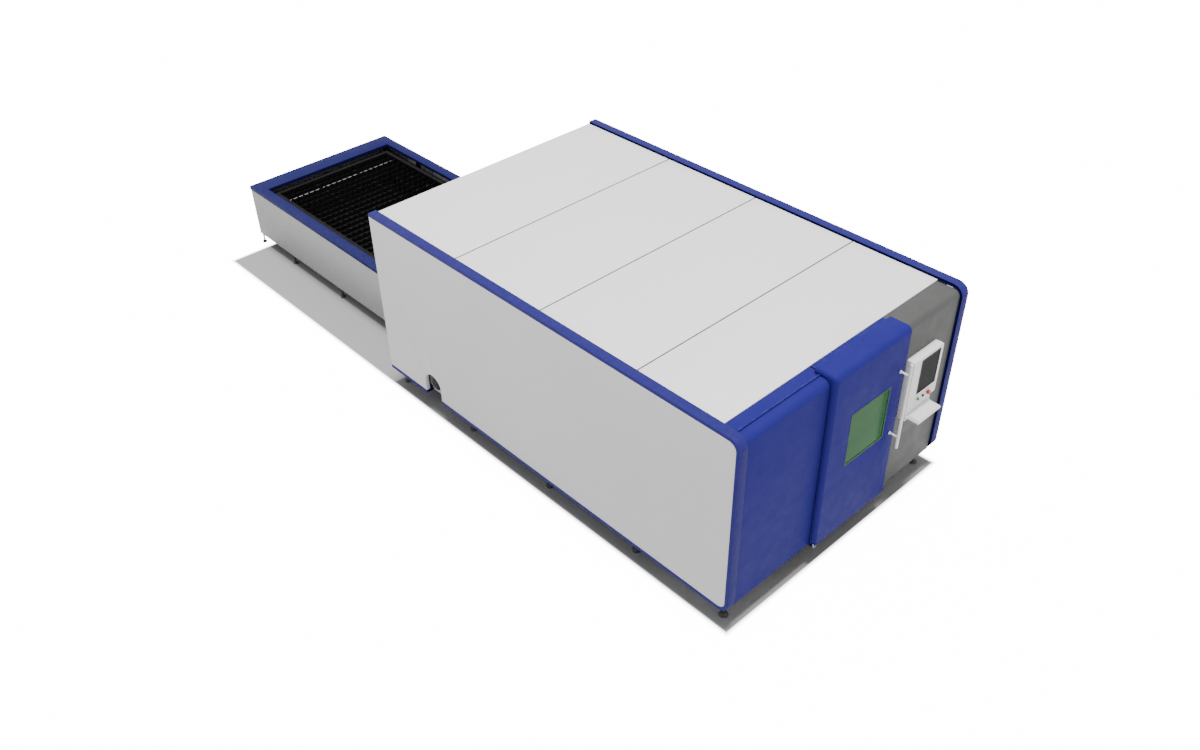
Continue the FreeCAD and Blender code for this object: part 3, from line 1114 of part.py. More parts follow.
def buttons():
    """Start and stop push buttons and a mushroom-headed emergency stop."""
    for name, index, cap_radius, proud in [("start_button", 0, 14, 9), ("stop_button", 1, 14, 9),
                                           ("emergency_stop", 2, 20, 20)]:
        x = button_x(index)
        cap_back = CONSOLE_FACE - 5
        cap = rod(cap_radius, proud, V(x, cap_back - proud, BUTTON_Z), Y_AXIS)
        front_rim = [e for e in cap.Edges if e.Curve.TypeId == "Part::GeomCircle"
                     and abs(e.CenterOfMass.y - (cap_back - proud)) < 0.01]
        cap = cap.makeFillet(2.0, front_rim)
        stem = rod(BUTTON_RADIUS - 2 * SLIDE_GAP, 40, V(x, cap_back - 1, BUTTON_Z), Y_AXIS)
        save(name, [union([cap, stem])])


os.makedirs("parts", exist_ok=True)
side_walls()
cabin_frame()
roof_panels()
rear_wall()
front_panels()
sliding_door()
door_window()
door_handle()
door_running_gear()
machine_bed()
bed_pallet_rails()
feet()
rear_shutter()
exhaust_duct()
pallets()
chain_drive()
gantry_guideways()
gantry()
cutting_head()
cabinets()
table_frame()
table_rim()
table_skirts()
console()
keyboard_shelf()
buttons()
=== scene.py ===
import bpy
import bmesh
import json
import math
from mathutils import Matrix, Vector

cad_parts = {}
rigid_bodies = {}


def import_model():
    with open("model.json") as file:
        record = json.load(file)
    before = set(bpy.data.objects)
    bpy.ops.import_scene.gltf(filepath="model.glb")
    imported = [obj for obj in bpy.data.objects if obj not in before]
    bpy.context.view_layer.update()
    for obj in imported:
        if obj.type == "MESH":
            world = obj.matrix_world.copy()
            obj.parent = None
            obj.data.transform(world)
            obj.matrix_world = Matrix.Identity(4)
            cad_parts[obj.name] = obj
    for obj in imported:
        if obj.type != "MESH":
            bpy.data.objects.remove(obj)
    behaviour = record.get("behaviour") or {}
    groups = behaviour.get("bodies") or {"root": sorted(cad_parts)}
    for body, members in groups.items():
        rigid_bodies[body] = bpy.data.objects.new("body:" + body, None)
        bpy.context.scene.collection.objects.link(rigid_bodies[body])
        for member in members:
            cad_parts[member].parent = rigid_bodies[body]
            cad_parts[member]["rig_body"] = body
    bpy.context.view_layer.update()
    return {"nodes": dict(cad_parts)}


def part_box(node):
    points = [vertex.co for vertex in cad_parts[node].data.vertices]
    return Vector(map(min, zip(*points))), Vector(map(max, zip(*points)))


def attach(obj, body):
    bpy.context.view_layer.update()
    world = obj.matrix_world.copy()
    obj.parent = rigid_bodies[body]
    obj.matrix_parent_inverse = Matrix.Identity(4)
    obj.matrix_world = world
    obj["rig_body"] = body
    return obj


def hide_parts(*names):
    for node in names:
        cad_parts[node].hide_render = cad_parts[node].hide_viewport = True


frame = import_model()

# ---------------------------------------------------------------- stage
# A plain white studio floor below a high overhead lamp and an even white surround. A painted shadow
# darkens the floor in the machine's outline, and outside it the floor glows to camera rays only.

HALF_FLOOR = 200.0
FLOOR_GREY = 0.80
PAINTED_SHADOW_GREY = 0.30
PAINTED_FLOOR_GLOW = 14.0
SURROUND_STRENGTH = 0.80
LAMP_ENERGY = 5.2
LAMP_SPREAD = 12.0
LAMP_HEIGHT = 12.0
floor_mesh = bpy.data.meshes.new("studio_floor")
floor_mesh.from_pydata([(-HALF_FLOOR, -HALF_FLOOR, 0), (HALF_FLOOR, -HALF_FLOOR, 0),
                        (HALF_FLOOR, HALF_FLOOR, 0), (-HALF_FLOOR, HALF_FLOOR, 0)], [], [(0, 1, 2, 3)])
floor = bpy.data.objects.new("studio_floor", floor_mesh)
bpy.context.collection.objects.link(floor)
floor_paint = bpy.data.materials.new("studio_floor_paint")
floor_paint.use_nodes = True
floor_tree = floor_paint.node_tree
floor_shader = floor_tree.nodes["Principled BSDF"]
floor_shader.inputs["Roughness"].default_value = 0.9
floor_shader.inputs["Specular IOR Level"].default_value = 0.1
floor_shader.inputs["Emission Color"].default_value = (1.0, 1.0, 1.0, 1)
# Painted shadow: a rectangle of the machine's outline on the floor, where the floor is darker grey and does
# not glow.
PAINTED_SHADOW_HALF_WIDTH = 1.51
PAINTED_SHADOW_HALF_LENGTH = 4.10
place = floor_tree.nodes.new("ShaderNodeTexCoord").outputs["Object"]
axes = floor_tree.nodes.new("ShaderNodeSeparateXYZ")
floor_tree.links.new(place, axes.inputs["Vector"])
beyond = floor_tree.nodes.new("ShaderNodeMath")
beyond.operation = "MAXIMUM"
for socket, axis, half in ((0, "X", PAINTED_SHADOW_HALF_WIDTH), (1, "Y", PAINTED_SHADOW_HALF_LENGTH)):
    size = floor_tree.nodes.new("ShaderNodeMath")
    size.operation = "ABSOLUTE"
    floor_tree.links.new(axes.outputs[axis], size.inputs[0])
    past = floor_tree.nodes.new("ShaderNodeMath")
    past.operation = "SUBTRACT"
    past.inputs[1].default_value = half
    floor_tree.links.new(size.outputs["Value"], past.inputs[0])
    floor_tree.links.new(past.outputs["Value"], beyond.inputs[socket])
# Mask of the painted shadow: 0 inside the outline, 1 outside; it darkens the floor colour and switches off
# the glow inside.
outside_painted_shadow = floor_tree.nodes.new("ShaderNodeMapRange")
outside_painted_shadow.inputs["From Min"].default_value = -0.015
outside_painted_shadow.inputs["From Max"].default_value = 0.035
floor_tree.links.new(beyond.outputs["Value"], outside_painted_shadow.inputs["Value"])
tone = floor_tree.nodes.new("ShaderNodeMix")
tone.data_type = "RGBA"
tone.inputs[6].default_value = (PAINTED_SHADOW_GREY, PAINTED_SHADOW_GREY, PAINTED_SHADOW_GREY, 1)
tone.inputs[7].default_value = (FLOOR_GREY, FLOOR_GREY, FLOOR_GREY, 1)
floor_tree.links.new(outside_painted_shadow.outputs["Result"], tone.inputs[0])
floor_tree.links.new(tone.outputs[2], floor_shader.inputs["Base Color"])
# Painted glow: outside the painted shadow the floor emits light, seen by camera rays only.
brightness = floor_tree.nodes.new("ShaderNodeMath")
brightness.operation = "MULTIPLY"
brightness.inputs[1].default_value = PAINTED_FLOOR_GLOW
floor_tree.links.new(outside_painted_shadow.outputs["Result"], brightness.inputs[0])
seen = floor_tree.nodes.new("ShaderNodeLightPath")
glow = floor_tree.nodes.new("ShaderNodeMath")
glow.operation = "MULTIPLY"
floor_tree.links.new(brightness.outputs["Value"], glow.inputs[0])
floor_tree.links.new(seen.outputs["Is Camera Ray"], glow.inputs[1])
floor_tree.links.new(glow.outputs["Value"], floor_shader.inputs["Emission Strength"])
floor_mesh.materials.append(floor_paint)

studio = bpy.data.worlds.new("studio")
bpy.context.scene.world = studio
studio.use_nodes = True
studio.node_tree.nodes["Background"].inputs["Color"].default_value = (1.0, 1.0, 1.0, 1)
studio.node_tree.nodes["Background"].inputs["Strength"].default_value = SURROUND_STRENGTH

overhead = bpy.data.lights.new("overhead_lamp", "SUN")
overhead.energy = LAMP_ENERGY
overhead.angle = math.radians(LAMP_SPREAD)
overhead_lamp = bpy.data.objects.new("overhead_lamp", overhead)
overhead_lamp.location = (0.0, 0.0, LAMP_HEIGHT)
bpy.context.collection.objects.link(overhead_lamp)

CAMERA_PLACE = (-6.349, -7.855, 7.351)
CAMERA_TURN = (52.504, 0.811, -43.368)
lens = bpy.data.cameras.new("view_camera")
lens.sensor_width = 36.0
lens.lens = 33.67
lens.clip_end = 2.5 * HALF_FLOOR
camera = bpy.data.objects.new("view_camera", lens)
camera.location = CAMERA_PLACE
camera.rotation_euler = [math.radians(angle) for angle in CAMERA_TURN]
bpy.context.collection.objects.link(camera)
bpy.context.scene.camera = camera

# ---------------------------------------------------------------- side walls
# Each side is a folded channel rim, powder coated blue, round a light grey steel cassette that is
# clipped into it from inside. The coat is a fine textured polyester with a faint orange peel.


def new_group(name, inputs, outputs):
    """An empty shader node group with its sockets."""
    group = bpy.data.node_groups.new(name, "ShaderNodeTree")
    for label, value in inputs:
        socket = group.interface.new_socket(label, in_out="INPUT", socket_type="NodeSocketFloat")
        socket.default_value = value
    for label in outputs:
        group.interface.new_socket(label, in_out="OUTPUT", socket_type="NodeSocketFloat")
    return group, group.nodes.new("NodeGroupInput"), group.nodes.new("NodeGroupOutput")


def noise(tree, coordinates, scale, detail, roughness=0.5):
    """A noise texture on the given coordinates; scale is a number or a socket."""
    texture = tree.nodes.new("ShaderNodeTexNoise")
    texture.inputs["Detail"].default_value = detail
    texture.inputs["Roughness"].default_value = roughness
    if isinstance(scale, (int, float)):
        texture.inputs["Scale"].default_value = scale
    else:
        tree.links.new(scale, texture.inputs["Scale"])
    tree.links.new(coordinates, texture.inputs["Vector"])
    return texture.outputs["Fac"]


def calculate(tree, operation, a, b, clamp=False):
    """One Math node on two numbers or sockets."""
    node = tree.nodes.new("ShaderNodeMath")
    node.operation = operation
    node.use_clamp = clamp
    for socket, value in zip(node.inputs, (a, b)):
        if isinstance(value, (int, float)):
            socket.default_value = value
        else:
            tree.links.new(value, socket)
    return node.outputs["Value"]


def spread(tree, value, low, high, new_low, new_high):
    """A clamped Map Range node."""
    node = tree.nodes.new("ShaderNodeMapRange")
    for label, number in (("From Min", low), ("From Max", high), ("To Min", new_low), ("To Max", new_high)):
        if isinstance(number, (int, float)):
            node.inputs[label].default_value = number
        else:
            tree.links.new(number, node.inputs[label])
    tree.links.new(value, node.inputs["Value"])
    return node.outputs["Result"]


def make_coat_grain():
    """Orange peel and cloudy shade of a sprayed powder coat."""
    sizes = [("Peel Scale", 260.0), ("Cloud Scale", 1.3), ("Cloud", 0.04)]
    group, entry, leave = new_group("coat_grain", sizes, ["Height", "Shade", "Gloss"])
    place = group.nodes.new("ShaderNodeTexCoord").outputs["Object"]
    peel = noise(group, place, entry.outputs["Peel Scale"], 3)
    group.links.new(peel, leave.inputs["Height"])
    cloud = noise(group, place, entry.outputs["Cloud Scale"], 4)
    centred = calculate(group, "SUBTRACT", cloud, 0.5)
    swing = calculate(group, "MULTIPLY", centred, entry.outputs["Cloud"])
    shade = calculate(group, "ADD", 1.0, calculate(group, "MULTIPLY", swing, 2.0))
    group.links.new(shade, leave.inputs["Shade"])
    streaks = noise(group, place, 9.0, 6)
    group.links.new(spread(group, streaks, 0.3, 0.7, -1.0, 1.0), leave.inputs["Gloss"])
    return group


def make_settled_dust():
    """A mask of thin dust on faces that look up, broken by noise."""
    group, entry, leave = new_group("settled_dust", [("Amount", 0.1), ("Patch Scale", 5.0)], ["Mask"])
    geometry = group.nodes.new("ShaderNodeNewGeometry")
    split = group.nodes.new("ShaderNodeSeparateXYZ")
    group.links.new(geometry.outputs["Normal"], split.inputs["Vector"])
    facing = spread(group, split.outputs["Z"], 0.3, 1.0, 0.0, 1.0)
    place = group.nodes.new("ShaderNodeTexCoord").outputs["Object"]
    patches = spread(group, noise(group, place, entry.outputs["Patch Scale"], 8, 0.65), 0.35, 0.75, 0.2, 1.0)
    lying = calculate(group, "MULTIPLY", facing, patches)
    mask = calculate(group, "MULTIPLY", lying, entry.outputs["Amount"], True)
    group.links.new(mask, leave.inputs["Mask"])
    return group


def make_edge_rub():
    """A mask of convex edges where the coat is rubbed thin, from the surface's pointiness."""
    group, entry, leave = new_group("edge_rub", [("Amount", 0.3), ("Break Scale", 30.0)], ["Mask"])
    geometry = group.nodes.new("ShaderNodeNewGeometry")
    ridge = spread(group, geometry.outputs["Pointiness"], 0.52, 0.62, 0.0, 1.0)
    place = group.nodes.new("ShaderNodeTexCoord").outputs["Object"]
    broken = spread(group, noise(group, place, entry.outputs["Break Scale"], 5), 0.4, 0.65, 0.0, 1.0)
    worn = calculate(group, "MULTIPLY", ridge, broken)
    mask = calculate(group, "MULTIPLY", worn, entry.outputs["Amount"], True)
    group.links.new(mask, leave.inputs["Mask"])
    return group


coat_grain = make_coat_grain()
settled_dust = make_settled_dust()
edge_rub = make_edge_rub()


def place_group(tree, group, **values):
    """A group node in a material, with its own values; underscores in the names stand for spaces."""
    node = tree.nodes.new("ShaderNodeGroup")
    node.node_tree = group
    for label, value in values.items():
        node.inputs[label.replace("_", " ")].default_value = value
    return node


def blend_colours(tree, factor, first, second, mode="MIX"):
    """A colour Mix node; each colour is a tuple or a socket."""
    node = tree.nodes.new("ShaderNodeMix")
    node.data_type = "RGBA"
    node.blend_type = mode
    for socket, value in ((node.inputs[0], factor), (node.inputs[6], first), (node.inputs[7], second)):
        if isinstance(value, (int, float, tuple)):
            socket.default_value = value
        else:
            tree.links.new(value, socket)
    return node.outputs[2]


def bump(tree, height, strength, distance):
    node = tree.nodes.new("ShaderNodeBump")
    node.inputs["Strength"].default_value = strength
    node.inputs["Distance"].default_value = distance
    tree.links.new(height, node.inputs["Height"])
    return node.outputs["Normal"]


def powder_coat(name, colour, roughness=0.42, peel=0.12, cloud=0.035, dust=0.08, rub=0.15, gloss=0.5):
    """Sprayed and baked paint on sheet steel."""
    material = bpy.data.materials.new(name)
    material.use_nodes = True
    tree = material.node_tree
    shader = tree.nodes["Principled BSDF"]
    grain = place_group(tree, coat_grain, Peel_Scale=300.0, Cloud_Scale=1.1, Cloud=cloud)
    dusty = place_group(tree, settled_dust, Amount=dust, Patch_Scale=4.0)
    rubbed = place_group(tree, edge_rub, Amount=rub, Break_Scale=25.0)
    paint = (*colour, 1.0)
    shade = tree.nodes.new("ShaderNodeCombineColor")
    for channel in ("Red", "Green", "Blue"):
        tree.links.new(grain.outputs["Shade"], shade.inputs[channel])
    shaded = blend_colours(tree, 1.0, paint, shade.outputs["Color"], "MULTIPLY")
    worn = blend_colours(tree, rubbed.outputs["Mask"], shaded, tuple(0.5 * c + 0.3 for c in colour) + (1.0,))
    top = blend_colours(tree, dusty.outputs["Mask"], worn, (0.5, 0.49, 0.47, 1.0))
    tree.links.new(top, shader.inputs["Base Color"])
    sheen = calculate(tree, "MULTIPLY", grain.outputs["Gloss"], 0.05)
    rough = calculate(tree, "ADD", calculate(tree, "ADD", sheen, roughness),
                      calculate(tree, "MULTIPLY", dusty.outputs["Mask"], 0.6), True)
    tree.links.new(rough, shader.inputs["Roughness"])
    tree.links.new(bump(tree, grain.outputs["Height"], peel, 0.0004), shader.inputs["Normal"])
    shader.inputs["Specular IOR Level"].default_value = gloss
    return material


def finish_with(material, *nodes):
    """Give CAD nodes one material."""
    for name in nodes:
        mesh = frame["nodes"][name].data
        mesh.materials.clear()
        mesh.materials.append(material)


def dressed(node, width, material):
    """A copy of a CAD piece with its edges eased by a small bevel, standing for that piece."""
    source = frame["nodes"][node]
    shell = bmesh.new()
    shell.from_mesh(source.data)
    bmesh.ops.remove_doubles(shell, verts=shell.verts, dist=0.00002)
    bmesh.ops.dissolve_limit(shell, angle_limit=math.radians(1.0), verts=shell.verts, edges=shell.edges)
    bmesh.ops.recalc_face_normals(shell, faces=shell.faces)
    sharp = [e for e in shell.edges if len(e.link_faces) == 2 and e.calc_face_angle(0) > math.radians(30)]
    bmesh.ops.bevel(shell, geom=sharp, offset=width, offset_type="OFFSET", segments=2, profile=0.5,
                    affect="EDGES", clamp_overlap=True)
    mesh = bpy.data.meshes.new(node + "_finish")
    shell.to_mesh(mesh)
    shell.free()
    mesh.shade_smooth()
    mesh.set_sharp_from_angle(angle=math.radians(35))
    mesh.materials.append(material)
    piece = bpy.data.objects.new(node + "_finish", mesh)
    bpy.context.collection.objects.link(piece)
    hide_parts(node)
    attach(piece, source["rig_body"])
    return piece


RIM_BLUE = (0.020, 0.018, 0.140)
WALL_GREY = (0.55, 0.55, 0.55)
rim_paint = powder_coat("rim_blue_coat", RIM_BLUE, roughness=0.5, dust=0.012, rub=0.05, gloss=0.05)
wall_paint = powder_coat("wall_grey_coat", WALL_GREY, roughness=0.5, dust=0.03)
for side in ("left", "right"):
    dressed(side + "_wall_rim", 0.002, rim_paint)
    dressed(side + "_wall_panel", 0.0015, wall_paint)

# ---------------------------------------------------------------- roof
# Four folded sheet pans laid side by side on the cabin frame, light grey coat, with a compressed
# rubber strip in each seam.

ROOF_GREY = (0.84, 0.84, 0.838)
roof_paint = powder_coat("roof_grey_coat", ROOF_GREY, roughness=0.55, peel=0.1, cloud=0.02, dust=0.05)
dressed("roof_panels", 0.002, roof_paint)

SEAM_ROWS = (-2.915, -1.748, -0.581)
SEAM_WIDTH = 0.015
SEAM_CROWN = 0.0022


def new_tree(name, **sizes):
    """An empty Geometry Nodes tree: named sizes in, one mesh out. Returns the tree, its entry and exit."""
    tree = bpy.data.node_groups.new(name, "GeometryNodeTree")
    tree.interface.new_socket("Geometry", in_out="INPUT", socket_type="NodeSocketGeometry")
    for label, value in sizes.items():
        title = label.replace("_", " ")
        size = tree.interface.new_socket(title, in_out="INPUT", socket_type="NodeSocketFloat")
        size.default_value = value
    tree.interface.new_socket("Geometry", in_out="OUTPUT", socket_type="NodeSocketGeometry")
    return tree, tree.nodes.new("NodeGroupInput"), tree.nodes.new("NodeGroupOutput")


def spread_along(name, unit, places, material, body, turns=None, fits=None):
    """Copies of a small mesh, one at each place, made by Geometry Nodes and kept as one plain mesh."""
    tree, entry, leave = new_tree(name + "_layout", Unit_Scale=1.0)
    read_unit = tree.nodes.new("GeometryNodeObjectInfo")
    read_unit.inputs["Object"].default_value = unit
    copies = tree.nodes.new("GeometryNodeInstanceOnPoints")
    turn = tree.nodes.new("GeometryNodeInputNamedAttribute")
    turn.data_type = "FLOAT_VECTOR"
    turn.inputs["Name"].default_value = "turn"
    as_turn = tree.nodes.new("FunctionNodeEulerToRotation")
    fit = tree.nodes.new("GeometryNodeInputNamedAttribute")
    fit.data_type = "FLOAT_VECTOR"
    fit.inputs["Name"].default_value = "fit"
    scaled = tree.nodes.new("ShaderNodeVectorMath")
    scaled.operation = "SCALE"
    real = tree.nodes.new("GeometryNodeRealizeInstances")
    paint = tree.nodes.new("GeometryNodeSetMaterial")
    paint.inputs["Material"].default_value = material
    for first, second in ((entry.outputs["Geometry"], copies.inputs["Points"]),
                          (read_unit.outputs["Geometry"], copies.inputs["Instance"]),
                          (turn.outputs["Attribute"], as_turn.inputs["Euler"]),
                          (as_turn.outputs["Rotation"], copies.inputs["Rotation"]),
                          (fit.outputs["Attribute"], scaled.inputs["Vector"]),
                          (entry.outputs["Unit Scale"], scaled.inputs["Scale"]),
                          (scaled.outputs["Vector"], copies.inputs["Scale"]),
                          (copies.outputs["Instances"], real.inputs["Geometry"]),
                          (real.outputs["Geometry"], paint.inputs["Geometry"]),
                          (paint.outputs["Geometry"], leave.inputs["Geometry"])):
        tree.links.new(first, second)
    points = bpy.data.meshes.new(name + "_points")
    points.from_pydata(places, [], [])
    for label, values, rest in (("turn", turns, (0.0, 0.0, 0.0)), ("fit", fits, (1.0, 1.0, 1.0))):
        stored = points.attributes.new(label, "FLOAT_VECTOR", "POINT")
        for index in range(len(places)):
            stored.data[index].vector = values[index] if values else rest
    holder = bpy.data.objects.new(name + "_points", points)
    bpy.context.collection.objects.link(holder)
    modifier = holder.modifiers.new("layout", "NODES")
    modifier.node_group = tree
    for socket in tree.interface.items_tree:
        if socket.name == "Unit Scale":
            modifier[socket.identifier] = 1.0
    graph = bpy.context.evaluated_depsgraph_get()
    mesh = bpy.data.meshes.new_from_object(holder.evaluated_get(graph), depsgraph=graph)
    mesh.name = name
    bpy.data.objects.remove(holder)
    for label in ("turn", "fit"):
        if label in mesh.attributes:
            mesh.attributes.remove(mesh.attributes[label])
    piece = bpy.data.objects.new(name, mesh)
    bpy.context.collection.objects.link(piece)
    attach(piece, body)
    return piece


def pattern_piece(name, build):
    """A small mesh to be copied, held out of the scene; build fills its bmesh."""
    shell = bmesh.new()
    build(shell)
    bmesh.ops.recalc_face_normals(shell, faces=shell.faces)
    mesh = bpy.data.meshes.new(name)
    shell.to_mesh(mesh)
    shell.free()
    mesh.shade_smooth()
    mesh.set_sharp_from_angle(angle=math.radians(35))
    return bpy.data.objects.new(name, mesh)


def lofted(shell, rings):
    """Skin rings of equal length into a closed body."""
    levels = [[shell.verts.new(point) for point in ring] for ring in rings]
    for low, high in zip(levels, levels[1:]):
        for index in range(len(low)):
            after = (index + 1) % len(low)
            shell.faces.new((low[index], low[after], high[after], high[index]))
    shell.faces.new(tuple(reversed(levels[0])))
    shell.faces.new(tuple(levels[-1]))


def rubber(name, colour):
    """Extruded rubber with a matt skin."""
    material = bpy.data.materials.new(name)
    material.use_nodes = True
    tree = material.node_tree
    shader = tree.nodes["Principled BSDF"]
    grain = place_group(tree, coat_grain, Peel_Scale=400.0, Cloud_Scale=8.0, Cloud=0.1)
    dusty = place_group(tree, settled_dust, Amount=0.3, Patch_Scale=12.0)
    base = blend_colours(tree, dusty.outputs["Mask"], (*colour, 1.0), (0.25, 0.24, 0.22, 1.0))
    tree.links.new(base, shader.inputs["Base Color"])
    tree.links.new(calculate(tree, "ADD", 0.68, calculate(tree, "MULTIPLY", grain.outputs["Gloss"], 0.08)),
                   shader.inputs["Roughness"])
    tree.links.new(bump(tree, grain.outputs["Height"], 0.25, 0.0003), shader.inputs["Normal"])
    return material


def make_seam_strip(shell):
    """One metre of crowned strip along x, to be stretched to the roof's width."""
    section = [(-0.5, 0.0), (-0.42, 0.75), (-0.15, 1.0), (0.15, 1.0), (0.42, 0.75), (0.5, 0.0)]
    lofted(shell, [[(end, SEAM_WIDTH * across, SEAM_CROWN * up - 0.0008) for across, up in section]
                   for end in (-0.5, 0.5)])


roof_low, roof_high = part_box("roof_panels")
roof_width = roof_high[0] - roof_low[0] - 0.004
seam_rubber = rubber("seam_rubber", (0.035, 0.035, 0.036))
spread_along("roof_seam_strips", pattern_piece("seam_strip", make_seam_strip),
             [(0.0, row, roof_high[2]) for row in SEAM_ROWS], seam_rubber,
             frame["nodes"]["roof_panels"]["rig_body"],
             fits=[(roof_width, 1.0, 1.0)] * len(SEAM_ROWS))

# ---------------------------------------------------------------- front skins and sliding door
# Sheet pans rolled over the top edge, blue semi-gloss coat. The door stands proud of the fixed
# skin and hangs from carriages on the header; its lining is the same coat from inside.

FRONT_BLUE = (0.017, 0.015, 0.160)
front_paint = powder_coat("front_blue_coat", FRONT_BLUE, roughness=0.48, peel=0.1, cloud=0.03, dust=0.012,
                          rub=0.05, gloss=0.03)
lining_paint = powder_coat("lining_blue_coat", (0.012, 0.014, 0.13), roughness=0.5, dust=0.02, gloss=0.2)
dressed("fixed_front_panel", 0.0015, front_paint)
dressed("sliding_door", 0.0015, front_paint)
finish_with(front_paint, "door_top_rail")
finish_with(lining_paint, "door_lining")

CONSOLE_PANEL_GREY = (0.070, 0.070, 0.069)
console_paint = powder_coat("console_panel_coat", CONSOLE_PANEL_GREY, roughness=0.5, dust=0.03, gloss=0.2)
dressed("console_front_panel", 0.0015, console_paint)

# ---------------------------------------------------------------- door window
# Laser-safe acrylic, dyed green, held in an extruded rubber profile that grips the sheet all round.


def make_laser_glass():
    """Dyed acrylic: deep green body, glossy, with the faintest casting waviness."""
    material = bpy.data.materials.new("laser_green_acrylic")
    material.use_nodes = True
    tree = material.node_tree
    shader = tree.nodes["Principled BSDF"]
    place = tree.nodes.new("ShaderNodeTexCoord").outputs["Object"]
    cloud = noise(tree, place, 2.2, 3)
    colour = blend_colours(tree, spread(tree, cloud, 0.3, 0.7, 0.0, 1.0), (0.010, 0.080, 0.018, 1),
                          (0.014, 0.100, 0.022, 1))
    tree.links.new(colour, shader.inputs["Base Color"])
    smears = noise(tree, place, 14.0, 7)
    tree.links.new(spread(tree, smears, 0.35, 0.75, 0.10, 0.22), shader.inputs["Roughness"])
    waves = noise(tree, place, 5.0, 2)
    tree.links.new(bump(tree, waves, 0.05, 0.002), shader.inputs["Normal"])
    shader.inputs["Specular IOR Level"].default_value = 0.06
    shader.inputs["IOR"].default_value = 1.49
    return material


finish_with(make_laser_glass(), "door_window")


gasket_rubber = rubber("gasket_rubber", (0.010, 0.058, 0.020))
finish_with(gasket_rubber, "window_gasket")

# ---------------------------------------------------------------- door handle
# A steel tube bar on two standoffs, bolted through the door from inside. It is stove-enamelled white,
# with a smooth, slightly glossy skin.

WHITE = (0.80, 0.80, 0.79)
white_enamel = powder_coat("white_enamel", WHITE, roughness=0.34, peel=0.05, cloud=0.015, dust=0.02)
finish_with(white_enamel, "door_handle")


# ---------------------------------------------------------------- door running gear
# Two carriages that roll on the rail over the doorway, and a turned guide pin at the foot of the door.
# Hardened steel, ground bright along its length, lightly oiled.

def bare_metal(name, colour, roughness=0.3, brushed=(1.0, 1.0, 1.0), scratch=0.15, dust=0.1, metallic=1.0,
               grime=0.0):
    """Machined or drawn metal; brushed stretches the marks along one axis."""
    material = bpy.data.materials.new(name)
    material.use_nodes = True
    tree = material.node_tree
    shader = tree.nodes["Principled BSDF"]
    place = tree.nodes.new("ShaderNodeTexCoord").outputs["Object"]
    stretch = tree.nodes.new("ShaderNodeMapping")
    stretch.inputs["Scale"].default_value = brushed
    tree.links.new(place, stretch.inputs["Vector"])
    marks = noise(tree, stretch.outputs["Vector"], 120.0, 6, 0.6)
    cloud = noise(tree, place, 6.0, 5)
    dusty = place_group(tree, settled_dust, Amount=dust, Patch_Scale=9.0)
    dark = tuple(0.72 * c for c in colour) + (1.0,)
    base = blend_colours(tree, spread(tree, cloud, 0.3, 0.7, 0.0, 1.0), dark, (*colour, 1.0))
    if grime:
        soil = spread(tree, noise(tree, place, 17.0, 8, 0.7), 0.5, 0.72, 0.0, grime)
        base = blend_colours(tree, soil, base, (0.035, 0.028, 0.022, 1.0))
    top = blend_colours(tree, dusty.outputs["Mask"], base, (0.36, 0.34, 0.31, 1.0))
    tree.links.new(top, shader.inputs["Base Color"])
    shader.inputs["Metallic"].default_value = metallic
    rough = calculate(tree, "ADD", spread(tree, marks, 0.3, 0.7, roughness - 0.08, roughness + 0.12),
                      calculate(tree, "MULTIPLY", dusty.outputs["Mask"], 0.5), True)
    tree.links.new(rough, shader.inputs["Roughness"])
    tree.links.new(bump(tree, marks, scratch, 0.0003), shader.inputs["Normal"])
    return material


ground_steel = bare_metal("ground_rail_steel", (0.58, 0.58, 0.59), roughness=0.24, brushed=(0.04, 1.0, 1.0))
finish_with(ground_steel, "gantry_beam_rails", "door_carriages", "door_floor_guide")
finish_with(bare_metal("ground_way_steel", (0.55, 0.55, 0.56), roughness=0.26, brushed=(1.0, 0.04, 1.0)),
            "gantry_guideways")

# ---------------------------------------------------------------- frame, bed and rear wall
# Tube and plate welded together, shot-blasted and sprayed with matt grey primer. The rear wall is a
# folded pan in the wall's own coat, with pressed louvres.

PRIMER_GREY = (0.30, 0.31, 0.33)
REAR_GREY = (0.56, 0.56, 0.57)
primer = powder_coat("frame_primer", PRIMER_GREY, roughness=0.62, peel=0.3, cloud=0.08, dust=0.2, rub=0.3)
finish_with(primer, "cabin_frame", "bed_side_beams", "bed_cross_members", "bed_pallet_rails",
            "shutter_guides")
rear_paint = powder_coat("rear_wall_coat", REAR_GREY, roughness=0.5, dust=0.05)
dressed("rear_wall", 0.0015, rear_paint)

LOUVRE_LENGTH = 0.36
LOUVRE_HEIGHT = 0.016
LOUVRE_PROUD = 0.009
LOUVRE_PITCH = 0.034
LOUVRE_ROWS = 9
LOUVRE_COLUMN = 0.62
LOUVRE_FOOT = 1.40


def make_louvre(shell):
    """One pressed louvre, its hood along x, open downwards; it stands on the sheet towards +z."""
    stations = 9
    rings = []
    for step in range(stations):
        share = -1 + 2 * step / (stations - 1)
        rise = math.sqrt(max(0.0, 1 - abs(share) ** 5))
        along = share * LOUVRE_LENGTH / 2
        up = 0.15 + 0.85 * rise
        rings.append([(along, -0.5 * LOUVRE_HEIGHT, -0.001), (along, -0.5 * LOUVRE_HEIGHT, up * LOUVRE_PROUD),
                      (along, -0.2 * LOUVRE_HEIGHT, up * LOUVRE_PROUD),
                      (along, 0.2 * LOUVRE_HEIGHT, 0.6 * up * LOUVRE_PROUD),
                      (along, 0.5 * LOUVRE_HEIGHT, -0.001)])
    lofted(shell, rings)


